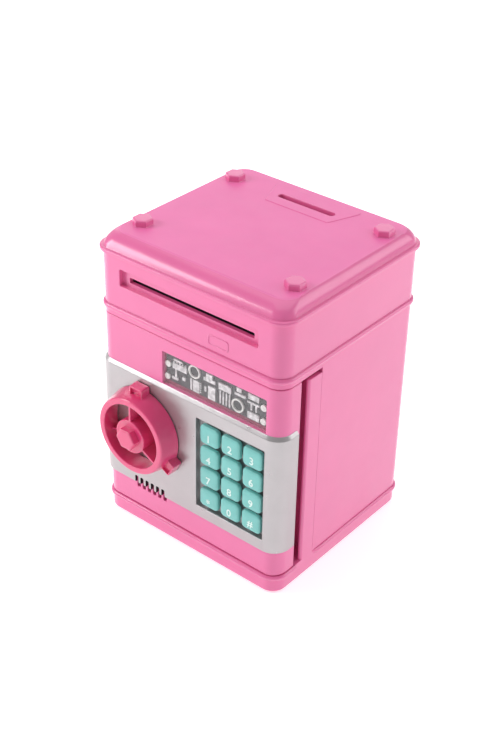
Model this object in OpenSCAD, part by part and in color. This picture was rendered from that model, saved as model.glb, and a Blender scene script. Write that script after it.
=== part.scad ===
// Toy safe coin bank: a box with a swing-out door, a keypad, a three-lobed
// handwheel that throws a latch bolt, a motor-fed banknote slot and a coin slot.
// The front faces -Y, +X is to the right seen from the front, +Z is up.

/* [Case] */
// Width of the case walls
body_w = 128; // [124:1:132]
// Depth of the case walls
body_d = 119.4; // [116:0.2:122]
// Radius of the upright corners
corner_r = 9; // [7:0.5:11]
// Thickness of the moulded walls
wall = 2.4; // [2:0.1:2.6]
// Height of the seam on top of the plinth
seam_z = 12.2; // [11.6:0.1:12.6]
// Height of the joint between the safe and its head
shell_top_z = 141; // [140:0.5:143]
// Height of the underside of the lid's lip
head_top_z = 172.2; // [171:0.2:173]
// Height of the flat top of the lid
lid_top_z = 181.6; // [181:0.2:182.4]
// How far the beads between the storeys stand out
bead_out = 1.3; // [0.8:0.1:1.6]
// How far the lip of the lid stands out
lip_out = 2; // [1.5:0.1:2.2]

/* [Slots] */
// Length of the coin slot
coin_slot_l = 38.4; // [34:0.2:38.6]
// Width of the coin slot
coin_slot_w = 4.2; // [4.2:0.1:4.4]
// Distance of the coin slot behind the middle of the case
coin_slot_y = 39.25; // [38:0.25:40]
// Length of the banknote slot
note_slot_l = 85.4; // [80:0.2:85.6]
// Height of the banknote slot
note_slot_h = 3.2; // [2.6:0.1:3.4]
// Height of the middle of the banknote slot
note_z = 158.6; // [158.4:0.1:158.8]

/* [Door] */
// Height of the top edge of the door
door_top_z = 134.3; // [133.8:0.1:134.4]
// How far the silver fascia stands out from the door
fascia_t = 1.6; // [1.2:0.1:1.8]
// Distance of the hinge pins to the right of the middle
hinge_x = 58; // [57.5:0.1:58.2]
// Gap between the bore of a hinge boss and its pin
pin_play = 0.05; // [0.02:0.01:0.08]

/* [Keypad] */
// Distance between the middles of two keys side by side
key_pitch_x = 14.9; // [14.6:0.1:15]
// Distance between the middles of two keys above each other
key_pitch_z = 14.05; // [13.8:0.05:14.2]
// Width of a key
key_w = 12.8; // [12:0.1:13]
// Height of a key
key_h = 11.8; // [11:0.1:12]

/* [Handwheel] */
// Distance of the handwheel to the left of the middle
knob_x = -30.3; // [-31:0.1:-30]
// Height of the handwheel's axis
knob_z = 71.6; // [71:0.1:72]
// Outer radius of the rim's front edge
knob_r = 23.4; // [22.5:0.1:24]
// Outer radius over the three lobes
lobe_r = 29.6; // [28.5:0.1:30]
// Angle between the unlocked and the locked position
throw_angle = 75; // [72:1:75]

/* [Banknote drive] */
// Module of the drive gears
gear_m = 0.8; // [0.8:0.05:0.8]
// Teeth of the motor pinion and of the small reduction gear
small_teeth = 10; // [10:1:10]
// Teeth of the large reduction gear
large_teeth = 30; // [30:1:30]
// Teeth of the gear on the feed shaft
roller_teeth = 24; // [24:1:24]

/* [Hidden] */
$fn = 48;
corner_steps = 10;
eps = 0.01;
tiny = 0.1;

hx = body_w / 2;
hy = body_d / 2;
in_x = hx - wall;
in_y = hy - wall;

// The origin lies on the floor under the middle of the outline, handwheel included.
foot_h = 0.8;
knob_gap = 0.4;
knob_h = 11.6;
cap_h = 4;
fascia_y = -hy - fascia_t;
knob_y0 = fascia_y - knob_gap;
knob_y1 = knob_y0 - knob_h;
cap_y = knob_y1 - cap_h;
frame_y = -(cap_y + hy + lip_out) / 2;

// Storeys of the case.
plate_t = 2.6;
plate_z = seam_z - plate_t;
header_z = 134.9;
flange_t = 2;
deck_z = header_z + flange_t;
deck_t = 2.4;
deck_top = deck_z + deck_t;
post_top_z = 132;
post_rear_y = -26.8;
jamb_r_y = -37.6;
jamb_l_y = -43.4;
jamb_l_t = 1.8;
jamb_r_x = 50;
jamb_l_x = -52;

// Long screws that hold deck, head and lid, and short ones that hold the plinth.
long_screws = [[-56, -33.5], [56, -33.5], [-56, 50], [56, 50]];
base_screw_at = [[-56, 51], [56, 51], [-57.6, -20], [57.6, -20]];
boss_r = 3.4;
m3_r = 1.45;
m3_clear = 1.75;
m3_pilot = 1.5;
m3_head_r = 2.8;
m3_head_h = 2.5;
boss_split_z = 166;

// Door.
door_z = seam_z + 0.5;
door_rear_y = -44.2;
door_in_z0 = door_z + wall;
door_in_z1 = door_top_z - wall;
door_in_y = -hy + wall;
back_plate_y = -46.6;
hinge_y = -50;
pin_r = 1.5;
fascia_z0 = 29.3;
fascia_z1 = 105.8;
fascia_chamfer = 3;
fascia_rear_y = -46.4;
door_screw_at = [[-56.5, 31], [56.5, 31], [-56.5, 101.5], [56.5, 101.5], [-4, 22], [-4, 100]];
m2_r = 1.05;
m2_head_r = 2.4;

// Window.
window_x0 = -17.5;
window_x1 = 54;
window_z0 = 106;
window_z1 = 126.4;
lens_y0 = -59.5;
lens_y1 = -58.4;
card_y = door_in_y;
card_z0 = 104.6;
relief_h = 1;
lamp_at = [[-14.6, 119], [-15.2, 111], [51, 119.6], [51, 111.2]];

// Keypad pocket, sunk into the fascia.
keypad_x = 32;
pocket_x = 31.25;
pocket_z = 66.3;
pocket_w = 47.3;
pocket_h = 58.8;
pocket_floor_y = -57.3;
pocket_wall = 1.2;
pocket_back_y = pocket_floor_y + 1.4;
key_front_y = fascia_y - 0.6;
key_back_y = pocket_floor_y - 1.8;
stem_r = 2.2;
stem_hole_r = 2.5;
stem_end_y = pocket_back_y + 1;
membrane_y = -53.2;
board_y = -52.6;

// Sound slots.
vent_n = 6;
vent_pitch = 4.07;
vent_x = -37.7;
vent_w = 2.5;
vent_z0 = 25.3;
vent_z1 = 34.5;

// Latch: a pinion on the handwheel's spindle drives a rack on the bolt.
pressure = 25;
addendum = 0.85;
dedendum = 1.15;
backlash = 0.14;
latch_m = 1;
latch_teeth = 10;
latch_pitch_r = latch_m * latch_teeth / 2;
spindle_r = 3.5;
bolt_y0 = -40.6;
bolt_y1 = -37.6;
bolt_x0 = -49.3;
bolt_x1 = -14;
bolt_z0 = 58.6;
bolt_z1 = knob_z - latch_pitch_r - dedendum * latch_m;
tray_x0 = -49.5;
tray_x1 = 46;
tray_z0 = 17.5;
tray_z1 = 130;
tray_y = -35.5;
tray_wall = 1.4;

// Lock: a solenoid drops its plunger into a notch of a disc on the spindle.
disc_r = 9;
disc_y0 = -53;
disc_y1 = -50;
notch_r = 6;
notch_w = 3.6;
lock_y = -51.5;
coil_z0 = 84;
coil_z1 = 100;
plunger_r = 2;

// Banknote drive.
feed_y = -36;
feed_r = 6.5;
pinch_r = 5;
feed_z = note_z - 0.1 - feed_r;
pinch_z = note_z + 0.2 + pinch_r;
small_pr = gear_m * small_teeth / 2;
large_pr = gear_m * large_teeth / 2;
roller_pr = gear_m * roller_teeth / 2;
lay_1 = 8;
lay_2 = 6;
idler_y = feed_y + (small_pr + roller_pr) * cos(lay_1);
idler_z = feed_z + (small_pr + roller_pr) * sin(lay_1);
motor_y = idler_y + (small_pr + large_pr) * cos(lay_2);
motor_z = idler_z + (small_pr + large_pr) * sin(lay_2);
side_x = 43.8;
side_t = 2;
side_out = side_x + side_t;
gear_x0 = side_out + 0.3;
gear_x1 = gear_x0 + 2.6;
gear_x2 = gear_x1 + 0.3;
gear_x3 = gear_x2 + 2;
feed_shaft_r = 1.5;
pinch_shaft_r = 1.25;
axle_r = 1.25;
run_play = 0.05;
sleeve_x0 = 12;
sleeve_x1 = 34;

// Batteries: three AA cells side by side under the vault floor.
cell_l = 49.2;
cell_r = 7.1;
cell_pitch = 15;
cell_z = 11;
box_x = 30;
box_y = 24.4;
box_wall = 1.4;
box_z0 = 3.2;
box_z1 = 20;
cover_t = 2;

pink = [0.95, 0.47, 0.69];
deep_pink = [0.89, 0.35, 0.60];
silver = [0.78, 0.76, 0.78];
turquoise = [0.42, 0.74, 0.70];
steel = [0.70, 0.71, 0.73];
white = [0.92, 0.92, 0.90];
black = [0.12, 0.12, 0.13];
green = [0.10, 0.38, 0.22];

// ---- helpers ----

// Points of an arc round (cx, cy), from angle a0 to a1 in n steps.
function arc(cx, cy, r, a0, a1, n = corner_steps) =
    [for (i = [0 : n]) let (a = a0 + (a1 - a0) * i / n) [cx + r * cos(a), cy + r * sin(a)]];

// Rectangle with round corners, half sizes x and y.
function round_rect(x, y, r, n = corner_steps) = concat(
    arc(x - r, y - r, r, 0, 90, n),
    arc(r - x, y - r, r, 90, 180, n),
    arc(r - x, r - y, r, 180, 270, n),
    arc(x - r, r - y, r, 270, 360, n));

// Moves a piece from the middle of the case walls to the part's own frame.
module placed() translate([0, frame_y, 0]) children();

// Box from its lowest to its highest corner.
module block(lo, hi) translate(lo) cube(hi - lo);

// Plan of the case, grown outwards by g, between two heights.
module case_slab(g, z0, z1) {
    translate([0, 0, z0])
        linear_extrude(z1 - z0)
            polygon(round_rect(hx + g, hy + g, corner_r + g));
}

// Upright ring that follows the plan of the case.
module case_ring(g_out, g_in, z0, z1) {
    difference() {
        case_slab(g_out, z0, z1);
        case_slab(g_in, z0 - eps, z1 + eps);
    }
}

// A flat drawing in the XZ plane, given a thickness from y0 to y1.
module front_prism(y0, y1) {
    translate([0, y1, 0])
        rotate([90, 0, 0])
            linear_extrude(y1 - y0)
                children();
}

// A flat drawing in the YZ plane, given a thickness from x0 to x1.
module side_prism(x0, x1) {
    translate([x0, 0, 0])
        rotate([90, 0, 90])
            linear_extrude(x1 - x0)
                children();
}

module rod_x(y, z, r, x0, x1) translate([x0, y, z]) rotate([0, 90, 0]) cylinder(r = r, h = x1 - x0);
module rod_y(x, z, r, y0, y1) translate([x, y0, z]) rotate([-90, 0, 0]) cylinder(r = r, h = y1 - y0);
module rod_z(x, y, r, z0, z1) translate([x, y, z0]) cylinder(r = r, h = z1 - z0);

// Involute gear tooth: polar angle of the flank at radius r, less that at the base circle.
function flank(rb, r) = let (t = sqrt(max(0, pow(r / rb, 2) - 1))) t * 180 / PI - atan(t);

// Half angle of a tooth at radius r.
function half_tooth(n, m, r) = let (rp = n * m / 2, rb = rp * cos(pressure))
    90 / n - backlash / rp * 90 / PI + flank(rb, rp) - flank(rb, max(r, rb));

// Outline of a gear with a tooth centred at angle a.
function gear_outline(n, m, a) = let (
        rp = n * m / 2,
        rb = rp * cos(pressure),
        r0 = rp - dedendum * m,
        r1 = rp + addendum * m,
        rs = concat([r0], [for (i = [0 : 5]) max(rb, r0 + eps) + (r1 - max(rb, r0 + eps)) * i / 5]))
    [for (k = [0 : n - 1], j = [0 : 2 * len(rs) - 1])
        let (up = j < len(rs),
             r = up ? rs[j] : rs[2 * len(rs) - 1 - j],
             h = half_tooth(n, m, r),
             t = a + 360 * k / n + (up ? -h : h))
        [r * cos(t), r * sin(t)]];

// A gear drawn in the YZ plane, from x0 to x1.
module gear_x(n, y, z, a, x0, x1) {
    side_prism(x0, x1)
        translate([y, z])
            polygon(gear_outline(n, gear_m, a));
}

// ---- housing ----

// Moulded base: hollow skirt, vault floor, and the two upright posts beside the door.
module base_plinth() color(pink) placed() {
    foot_boss_r = 6;
    difference() {
        union() {
            case_ring(0, -wall, foot_h, seam_z);
            case_slab(-tiny, plate_z, seam_z);
            case_ring(0.8, -wall, 8.8, seam_z);
            case_ring(bead_out, -wall, 9.3, seam_z - 0.5);
            for (x = [-48, 48], y = [-43, 43]) rod_z(x, y, foot_boss_r, 2.2, plate_z + eps);
            right_post();
            left_post();
        }
        block([-box_x - 0.2, -box_y - 0.2, 0], [box_x + 0.2, box_y + 0.2, seam_z + 1]);
        for (p = base_screw_at) rod_z(p[0], p[1], m3_clear, plate_z - 1, seam_z + 1);
        rod_z(hinge_x, hinge_y, pin_r + 0.02, plate_z - 1, seam_z + 1);
    }
}

// Post behind the hinge side. Its flange lies at the rear, clear of the swinging door edge.
module right_post() {
    block([in_x, jamb_r_y, plate_z], [hx, post_rear_y, post_top_z]);
    block([jamb_r_x, post_rear_y - wall, plate_z], [hx, post_rear_y, post_top_z]);
}

// Post behind the latch side. The bolt hooks behind its front flange.
module left_post() {
    block([-hx, jamb_l_y, plate_z], [-in_x, post_rear_y, post_top_z]);
    block([-hx, jamb_l_y, plate_z], [jamb_l_x, jamb_l_y + jamb_l_t, post_top_z]);
}

// Side and rear walls, with the header over the door and the bead round the top.
module body_shell() color(pink) placed() {
    difference() {
        union() {
            difference() {
                case_ring(0, -wall, seam_z, shell_top_z);
                block([-hx - 1, -hy - 1, seam_z - 1], [hx + 1, post_rear_y + tiny, header_z]);
            }
            case_ring(0.8, -wall, 137.8, 140.8);
            case_ring(bead_out, -wall, 138.3, 140.3);
            header_flange();
            for (p = base_screw_at) shell_boss(p);
        }
        for (p = base_screw_at) rod_z(p[0], p[1], m3_pilot, seam_z - 1, 22);
        for (p = long_screws) rod_z(p[0], p[1], m3_clear, header_z - 1, deck_z + 1);
        rod_z(hinge_x, hinge_y, pin_r + 0.02, header_z - 1, deck_z + 1);
    }
}

// Flange inside the top of the shell, which carries the deck and the upper hinge pin.
module header_flange() {
    difference() {
        case_slab(-wall + tiny, header_z, deck_z);
        block([-52.5, -30, header_z - 1], [52.5, 46, deck_z + 1]);
    }
}

// Screw boss at the foot of the shell, tied to the side wall by a rib.
module shell_boss(p) {
    side = sign(p[0]);
    rod_z(p[0], p[1], boss_r, seam_z, 24);
    translate([side > 0 ? p[0] : -in_x - tiny, p[1] - 1, seam_z])
        cube([in_x + tiny - abs(p[0]), 2, 11.8]);
}

// Head with the banknote slot at the back of a shallow recess.
module head_housing() color(pink) placed() {
    recess_x = 47.4;
    recess_z0 = 154.7;
    recess_z1 = 164.6;
    recess_d = 3;
    difference() {
        union() {
            case_ring(0, -wall, shell_top_z, head_top_z);
            block([-50.4, -hy + 1, 152], [50.4, -hy + recess_d + wall, 167.4]);
            for (p = long_screws) head_boss(p);
        }
        block([-recess_x, -hy - 1, recess_z0], [recess_x, -hy + recess_d, recess_z1]);
        block([-note_slot_l / 2, -hy, note_z - note_slot_h / 2],
              [note_slot_l / 2, -in_y + 6, note_z + note_slot_h / 2]);
        for (p = long_screws) rod_z(p[0], p[1], m3_clear, deck_top - 1, boss_split_z + 1);
    }
}

// Tube in the head that a long screw passes through.
module head_boss(p) {
    side = sign(p[0]);
    rod_z(p[0], p[1], boss_r, deck_top, boss_split_z);
    translate([side > 0 ? p[0] : -in_x - tiny, p[1] - 1, shell_top_z])
        cube([in_x + tiny - abs(p[0]), 2, boss_split_z - shell_top_z]);
}

// One level of the lid's crown: plan half sizes, with the front edge pulled back.
module crown_level(side, front, rear, r, z) {
    y0 = -hy + front;
    y1 = hy - rear;
    translate([0, (y0 + y1) / 2, z])
        linear_extrude(eps)
            polygon(round_rect(hx - side, (y1 - y0) / 2, r, 7));
}

// Lid: flat top with bevelled sides, an overhanging lip and the coin slot.
module top_lid() color(pink) placed() {
    lip_z = head_top_z + 2.3;
    difference() {
        union() {
            hull() {
                crown_level(0, 0, 0, corner_r, lip_z - tiny);
                crown_level(0.9, 2, 0.8, corner_r, lip_z + 3.4);
                crown_level(2.6, 5, 2.2, corner_r, lid_top_z - 1.2);
                crown_level(5, 9.2, 4.2, corner_r, lid_top_z - eps);
            }
            case_slab(lip_out - 0.5, head_top_z, lip_z);
            case_slab(lip_out, head_top_z + 0.5, lip_z - 0.5);
            coin_panel();
        }
        hull() {
            crown_level(wall + 0.2, wall + 0.2, wall + 0.2, corner_r - wall, head_top_z - eps);
            crown_level(wall + 1.6, wall + 3.4, wall + 1.6, corner_r - wall, lip_z + 2);
            crown_level(6.4, 10.6, 5.6, corner_r - wall, lid_top_z - wall);
        }
        block([-coin_slot_l / 2, coin_slot_y - coin_slot_w / 2, lid_top_z - 5],
              [coin_slot_l / 2, coin_slot_y + coin_slot_w / 2, lid_top_z + 1]);
        for (x = [-51.6, 51.6], y = [-36.5, 39.9]) rod_z(x, y, 2.05, lid_top_z - 5, lid_top_z + 1);
    }
    lid_rim();
    for (p = long_screws) lid_boss(p);
}

// Very low raised panel round the coin slot.
module coin_panel() {
    translate([0, 0, lid_top_z - 1])
        linear_extrude(1.4)
            polygon([[-21.5, 29.5], [21.5, 29.5], [29.5, 51], [-29.5, 51]]);
}

// Rim under the lid that drops inside the head.
module lid_rim() {
    case_ring(-wall - 0.2, -wall - 1.7, head_top_z - 2.6, head_top_z + 1);
}

// Boss under the lid that a long screw bites into.
module lid_boss(p) {
    difference() {
        rod_z(p[0], p[1], boss_r, boss_split_z, 178.2);
        rod_z(p[0], p[1], m3_pilot, boss_split_z - 1, 175);
    }
}

// Four hexagonal caps that plug into the lid and look like bolt heads.
module lid_hex_caps() color(pink) placed() {
    for (x = [-51.6, 51.6], y = [-36.5, 39.9]) {
        translate([x, y, lid_top_z]) {
            rotate([0, 0, 30]) cylinder(r = 5.8, h = 2.9, $fn = 6);
            translate([0, 0, 2.9 - eps]) rotate([0, 0, 30]) cylinder(r1 = 5.8, r2 = 5.1, h = 0.7, $fn = 6);
            translate([0, 0, -3]) cylinder(r = 2, h = 3 + eps);
        }
    }
}

// Deck between vault and head, with the drop gap for notes and the hole for the coin chute.
module mechanism_deck() color(white) placed() {
    difference() {
        case_slab(-wall - 0.3, deck_z, deck_top);
        block([-44, -29, deck_z - 1], [44, -18, deck_top + 1]);
        block([-21.1, coin_slot_y - 3.9, deck_z - 1], [21.1, coin_slot_y + 3.9, deck_top + 1]);
        for (p = long_screws) rod_z(p[0], p[1], m3_clear, deck_z - 1, deck_top + 1);
    }
}

// Square tube that takes coins from the lid to the vault.
module coin_chute() color(pink) placed() {
    chute_x = 20;
    chute_y = 2.5;
    chute_t = 0.9;
    difference() {
        union() {
            block([-chute_x - chute_t, coin_slot_y - chute_y - chute_t, header_z],
                  [chute_x + chute_t, coin_slot_y + chute_y + chute_t, 178.9]);
            block([-25, coin_slot_y - 8, deck_top], [25, coin_slot_y + 8, deck_top + 1.4]);
        }
        block([-chute_x, coin_slot_y - chute_y, header_z - 1],
              [chute_x, coin_slot_y + chute_y, 180]);
    }
}

// Mouth that leads a note from the slot to the rollers, on two legs.
module note_guide() color(black) placed() {
    y0 = -54.2;
    y1 = -43.2;
    difference() {
        block([-43.7, y0, note_z - 3], [43.7, y1, note_z + 3.4]);
        block([-42.9, y0 - 1, note_z - 1.8], [42.9, y1 + 1, note_z + 2.2]);
    }
    for (x = [-30, 28]) block([x, -52, deck_top], [x + 2, -46, note_z - 3 + eps]);
}

// Curved sheet behind the rollers that turns the note down into the vault.
module note_deflector() color(white) placed() {
    r = 12.6;
    t = 1.2;
    cy = -30.3;
    cz = 148.3;
    side_prism(-43.5, 43.5)
        polygon(concat([[cy + r, deck_top]], arc(cy, cz, r, 0, 90),
                       arc(cy, cz, r + t, 90, 0), [[cy + r + t, deck_top]]));
}

module left_bearing_plate() color(white) placed() {
    difference() {
        block([-side_out, -50, deck_top], [-side_x, -24, 171]);
        rod_x(feed_y, feed_z, feed_shaft_r + run_play, -side_out - 1, -side_x + 1);
        rod_x(feed_y, pinch_z, pinch_shaft_r + run_play, -side_out - 1, -side_x + 1);
    }
}

module right_bearing_plate() color(white) placed() {
    difference() {
        block([side_x, -50, deck_top], [side_out, 4, 171]);
        rod_x(feed_y, feed_z, feed_shaft_r + run_play, side_x - 1, side_out + 1);
        rod_x(feed_y, pinch_z, pinch_shaft_r + run_play, side_x - 1, side_out + 1);
        rod_x(idler_y, idler_z, axle_r + 0.02, side_x - 1, side_out + 1);
        rod_x(motor_y, motor_z, 3.1, side_x - 1, side_out + 1);
    }
}

// Small can motor, flat on two sides.
module feed_motor() color(steel) placed() {
    can_r = 10;
    can_x = 18.8;
    difference() {
        union() {
            intersection() {
                rod_x(motor_y, motor_z, can_r, can_x, side_x);
                block([can_x, motor_y - 7.6, 140], [side_x, motor_y + 7.6, 170]);
            }
            rod_x(motor_y, motor_z, 3, can_x - 2, side_out + 0.2);
        }
        rod_x(motor_y, motor_z, 1 + run_play, 26, side_out + 1);
    }
}

module motor_pinion() color(white) placed() {
    gear_x(small_teeth, motor_y, motor_z, lay_2 + 180 + 180 / small_teeth, gear_x2, gear_x3 + 0.4);
    rod_x(motor_y, motor_z, 1, 27, gear_x3 + 0.8);
}

// Large and small gear in one moulding, turning on a fixed pin.
module reduction_gear() color(white) placed() {
    difference() {
        union() {
            gear_x(large_teeth, idler_y, idler_z, lay_2, gear_x2, gear_x3);
            gear_x(small_teeth, idler_y, idler_z, lay_1 + 180, gear_x0, gear_x2 + eps);
        }
        rod_x(idler_y, idler_z, axle_r + run_play, gear_x0 - 1, gear_x3 + 1);
    }
}

module reduction_axle() color(steel) placed() {
    rod_x(idler_y, idler_z, axle_r, side_x + 0.1, gear_x3 + 0.3);
    rod_x(idler_y, idler_z, 2.2, gear_x3 + 0.2, gear_x3 + 0.9);
}

module roller_gear() color(white) placed() {
    difference() {
        gear_x(roller_teeth, feed_y, feed_z, lay_1 + 180 / roller_teeth, gear_x0, gear_x1);
        rod_x(feed_y, feed_z, feed_shaft_r + 0.02, gear_x0 - 1, gear_x1 + 1);
    }
}

module feed_shaft() color(steel) placed() rod_x(feed_y, feed_z, feed_shaft_r, -47.4, gear_x1);

module pinch_shaft() color(steel) placed() rod_x(feed_y, pinch_z, pinch_shaft_r, -46, 46);

// Two rubber sleeves on a shaft.
module sleeves(z, r, bore_r) {
    for (x = [-sleeve_x1, sleeve_x0]) {
        difference() {
            rod_x(feed_y, z, r, x, x + sleeve_x1 - sleeve_x0);
            rod_x(feed_y, z, bore_r, x - 1, x + sleeve_x1 - sleeve_x0 + 1);
        }
    }
}

module feed_rollers() color(black) placed() sleeves(feed_z, feed_r, feed_shaft_r + 0.02);

module pinch_rollers() color(black) placed() sleeves(pinch_z, pinch_r, pinch_shaft_r + 0.02);

// Optical sensor that wakes the feed motor when a note is pushed in.
module note_sensor() color(black) placed() {
    block([-6, -52, note_z + 3.4], [6, -46, note_z + 6.4]);
    block([-4, -51, note_z + 6.4 - eps], [4, -47, note_z + 8]);
}

// Battery box, open below, hung under the vault floor by its flange.
module battery_box() color(white) placed() {
    difference() {
        union() {
            block([-box_x, -box_y, box_z0], [box_x, box_y, box_z1]);
            block([-box_x - 5, -box_y - 4.6, plate_z - 2], [box_x + 5, box_y + 4.6, plate_z]);
            rod_z(box_x + 3, 0, 2.4, box_z0, plate_z - 1);
        }
        block([-box_x + box_wall, -box_y + box_wall, box_z0 - 1],
              [box_x - box_wall, box_y - box_wall, box_z1 - box_wall]);
        rod_z(box_x + 3, 0, 1.05, box_z0 - 1, plate_z - 1.4);
    }
}

// Which way a cell points: neighbours are turned round.
function cell_dir(i) = i == 0 ? -1 : 1;

module battery_cells() color(steel) placed() {
    for (i = [-1 : 1]) {
        translate([0, i * cell_pitch, cell_z])
            rotate([0, 90 * cell_dir(i), 0]) {
                translate([0, 0, -cell_l / 2 - 0.5]) cylinder(r = cell_r, h = cell_l);
                translate([0, 0, cell_l / 2 - 0.6]) cylinder(r = 2.7, h = 1.4);
            }
    }
}

// Contact plates, with a coil cone at each cell's flat end.
module battery_contacts() color(steel) placed() {
    for (i = [-1 : 1]) {
        translate([0, i * cell_pitch, cell_z])
            rotate([0, 90 * cell_dir(i), 0]) {
                translate([-4.5, -4.5, -28.5]) cube([9, 9, 0.4]);
                translate([0, 0, -28.2]) cylinder(r1 = 4, r2 = 2.6, h = 3);
                translate([-4.5, -4.5, 28.1]) cube([9, 9, 0.4]);
                translate([0, 0, 25.5]) cylinder(r1 = 1.6, r2 = 2.6, h = 2.7);
            }
    }
}

module rubber_feet() color(black) placed() {
    for (x = [-48, 48], y = [-43, 43]) rod_z(x, y, 5, 0, 2.2);
}

// Long screws from the vault through flange, deck and head into the lid.
module case_screws() color(steel) placed() {
    for (p = long_screws) {
        rod_z(p[0], p[1], m3_head_r, header_z - m3_head_h, header_z);
        rod_z(p[0], p[1], m3_r, header_z - eps, 174);
    }
}

// Short screws from below the vault floor into the shell.
module base_screws() color(steel) placed() {
    for (p = base_screw_at) {
        rod_z(p[0], p[1], m3_head_r, plate_z - m3_head_h, plate_z);
        rod_z(p[0], p[1], m3_r, plate_z - eps, 21.5);
    }
}

// Lower pin in the plinth and upper pin in the header.
module hinge_pins() color(steel) placed() {
    rod_z(hinge_x, hinge_y, pin_r, plate_z + 0.1, door_z + 9.6);
    rod_z(hinge_x, hinge_y, pin_r, door_top_z - 9.6, deck_z - 0.1);
}

// Steel wear plate behind the left flange, where the bolt hooks.
module strike_plate() color(steel) placed() {
    y0 = jamb_l_y + jamb_l_t;
    block([-61.4, y0, 52], [jamb_l_x - 0.4, y0 + 0.6, 72]);
}

// ---- battery cover ----

module battery_cover() color(pink) placed() {
    screw_x = box_x + 3;
    difference() {
        block([-box_x - 1.5, -box_y - 1.6, box_z0 - cover_t], [box_x + 6, box_y + 1.6, box_z0]);
        rod_z(screw_x, 0, 1.15, 0, box_z0 + 1);
        rod_z(screw_x, 0, 2.4, 0, box_z0 - 0.6);
        for (i = [-1 : 1]) block([-26 + i * 2, -6, 0], [-25.2 + i * 2, 6, box_z0 - cover_t + 0.5]);
    }
}

module battery_cover_screw() color(steel) placed() {
    rod_z(box_x + 3, 0, 2.2, box_z0 - cover_t + 0.1, box_z0 - 0.6);
    rod_z(box_x + 3, 0, 1, box_z0 - 0.6 - eps, 7.6);
}

// ---- door ----

// Plan of the door: the front of the case plan, grown by g, cut off at y1.
module door_slab(g, z0, z1, y1) {
    intersection() {
        case_slab(g, z0, z1);
        block([-hx - 9, -hy - 9, z0 - 1], [hx + 9, y1, z1 + 1]);
    }
}

// Sound slots, cut through fascia and door alike.
module vents() {
    for (i = [0 : vent_n - 1]) {
        x = vent_x + i * vent_pitch;
        block([x - vent_w / 2, -hy - 5, vent_z0], [x + vent_w / 2, -hy + 5, vent_z1]);
    }
}

// One opening in the door behind the fascia's part of the sound slots.
module vent_window() {
    half = vent_w / 2;
    last_x = vent_x + (vent_n - 1) * vent_pitch;
    block([vent_x - half, -hy - 1, fascia_z0 + 0.3], [last_x + half, door_in_y + 1, vent_z1 + 0.5]);
}

// Pink front shell of the door with its window, hinge bosses and screw bosses.
module door_shell() color(pink) placed() {
    difference() {
        union() {
            difference() {
                door_slab(0, door_z, door_top_z, door_rear_y);
                door_slab(-wall, door_in_z0, door_in_z1, door_rear_y + 5);
            }
            block([54.6, -53.5, door_in_z0 - tiny], [in_x + tiny, back_plate_y, 24]);
            block([54.6, -53.5, 122.8], [in_x + tiny, back_plate_y, door_in_z1 + tiny]);
            for (p = door_screw_at) rod_y(p[0], p[1], 3, door_in_y - tiny, back_plate_y);
            rod_y(knob_x, knob_z, 6.5, door_in_y - tiny, disc_y0 - 0.6);
        }
        block([window_x0, -hy - 1, window_z0], [window_x1, door_in_y + 1, window_z1]);
        block([pocket_x - pocket_w / 2 - 1.3, -hy - 1, pocket_z - pocket_h / 2 - 1.3],
              [pocket_x + pocket_w / 2 + 1.3, door_in_y + 1, pocket_z + pocket_h / 2 + 1.3]);
        rod_y(knob_x, knob_z, spindle_r + run_play, -hy - 1, disc_y0);
        for (p = door_screw_at) rod_y(p[0], p[1], m2_r + 0.05, -55, back_plate_y + 1);
        rod_z(hinge_x, hinge_y, pin_r + pin_play, door_z - 1, door_z + 9.9);
        rod_z(hinge_x, hinge_y, pin_r + pin_play, door_top_z - 9.9, door_top_z + 1);
        vents();
        vent_window();
    }
}

// Silver fascia, wrapped round both corners of the door, with the keypad pocket.
module fascia_plate() color(silver) placed() {
    px = pocket_w / 2;
    pz = pocket_h / 2;
    difference() {
        union() {
            difference() {
                union() {
                    door_slab(fascia_t, fascia_z0 + 0.4, fascia_z1 - fascia_chamfer, fascia_rear_y);
                    door_slab(fascia_t / 2, fascia_z0, fascia_z1, fascia_rear_y);
                }
                case_slab(0, fascia_z0 - 1, fascia_z1 + 1);
            }
            block([pocket_x - px - pocket_wall, fascia_y + 0.4, pocket_z - pz - pocket_wall],
                  [pocket_x + px + pocket_wall, pocket_back_y, pocket_z + pz + pocket_wall]);
        }
        block([pocket_x - px, fascia_y - 1, pocket_z - pz],
              [pocket_x + px, pocket_floor_y, pocket_z + pz]);
        for (c = [0 : 2], r = [0 : 3]) {
            rod_y(key_x(c), key_z(r), stem_hole_r, pocket_floor_y - 1, pocket_back_y + 1);
        }
        rod_y(knob_x, knob_z, spindle_r + 1, fascia_y - 1, -hy + 1);
        vents();
    }
}

module window_lens() color([0.85, 0.90, 0.92, 0.35]) placed() {
    block([window_x0, lens_y0, window_z0], [window_x1, lens_y1, window_z1]);
}

// Relief card behind the lens: made-up circuit shapes on a plain plate.
module window_card() color([0.45, 0.44, 0.47]) placed() {
    block([window_x0 - 1.5, card_y, card_z0], [window_x1 + 0.4, card_y + 1, window_z1 + 2]);
    for (p = [[3.8, 121.4], [33.7, 113.4]]) {
        difference() {
            rod_y(p[0], p[1], 4.2, card_y - relief_h, card_y + eps);
            rod_y(p[0], p[1], 3, card_y - relief_h - 1, card_y - 0.4);
        }
    }
    for (p = [[-8, 116], [2, 109.5], [11.5, 109.5], [40, 109.5], [42, 119]]) {
        block([p[0], card_y - relief_h, p[1]], [p[0] + 6, card_y + eps, p[1] + 5]);
    }
    for (i = [0 : 3]) {
        block([20 + i * 2.1, card_y - relief_h, 110], [21.2 + i * 2.1, card_y + eps, 118]);
    }
}

module indicator_leds() color(white) placed() {
    for (p = lamp_at) rod_y(p[0], p[1], 1.9, card_y - relief_h, card_y);
}

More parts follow.
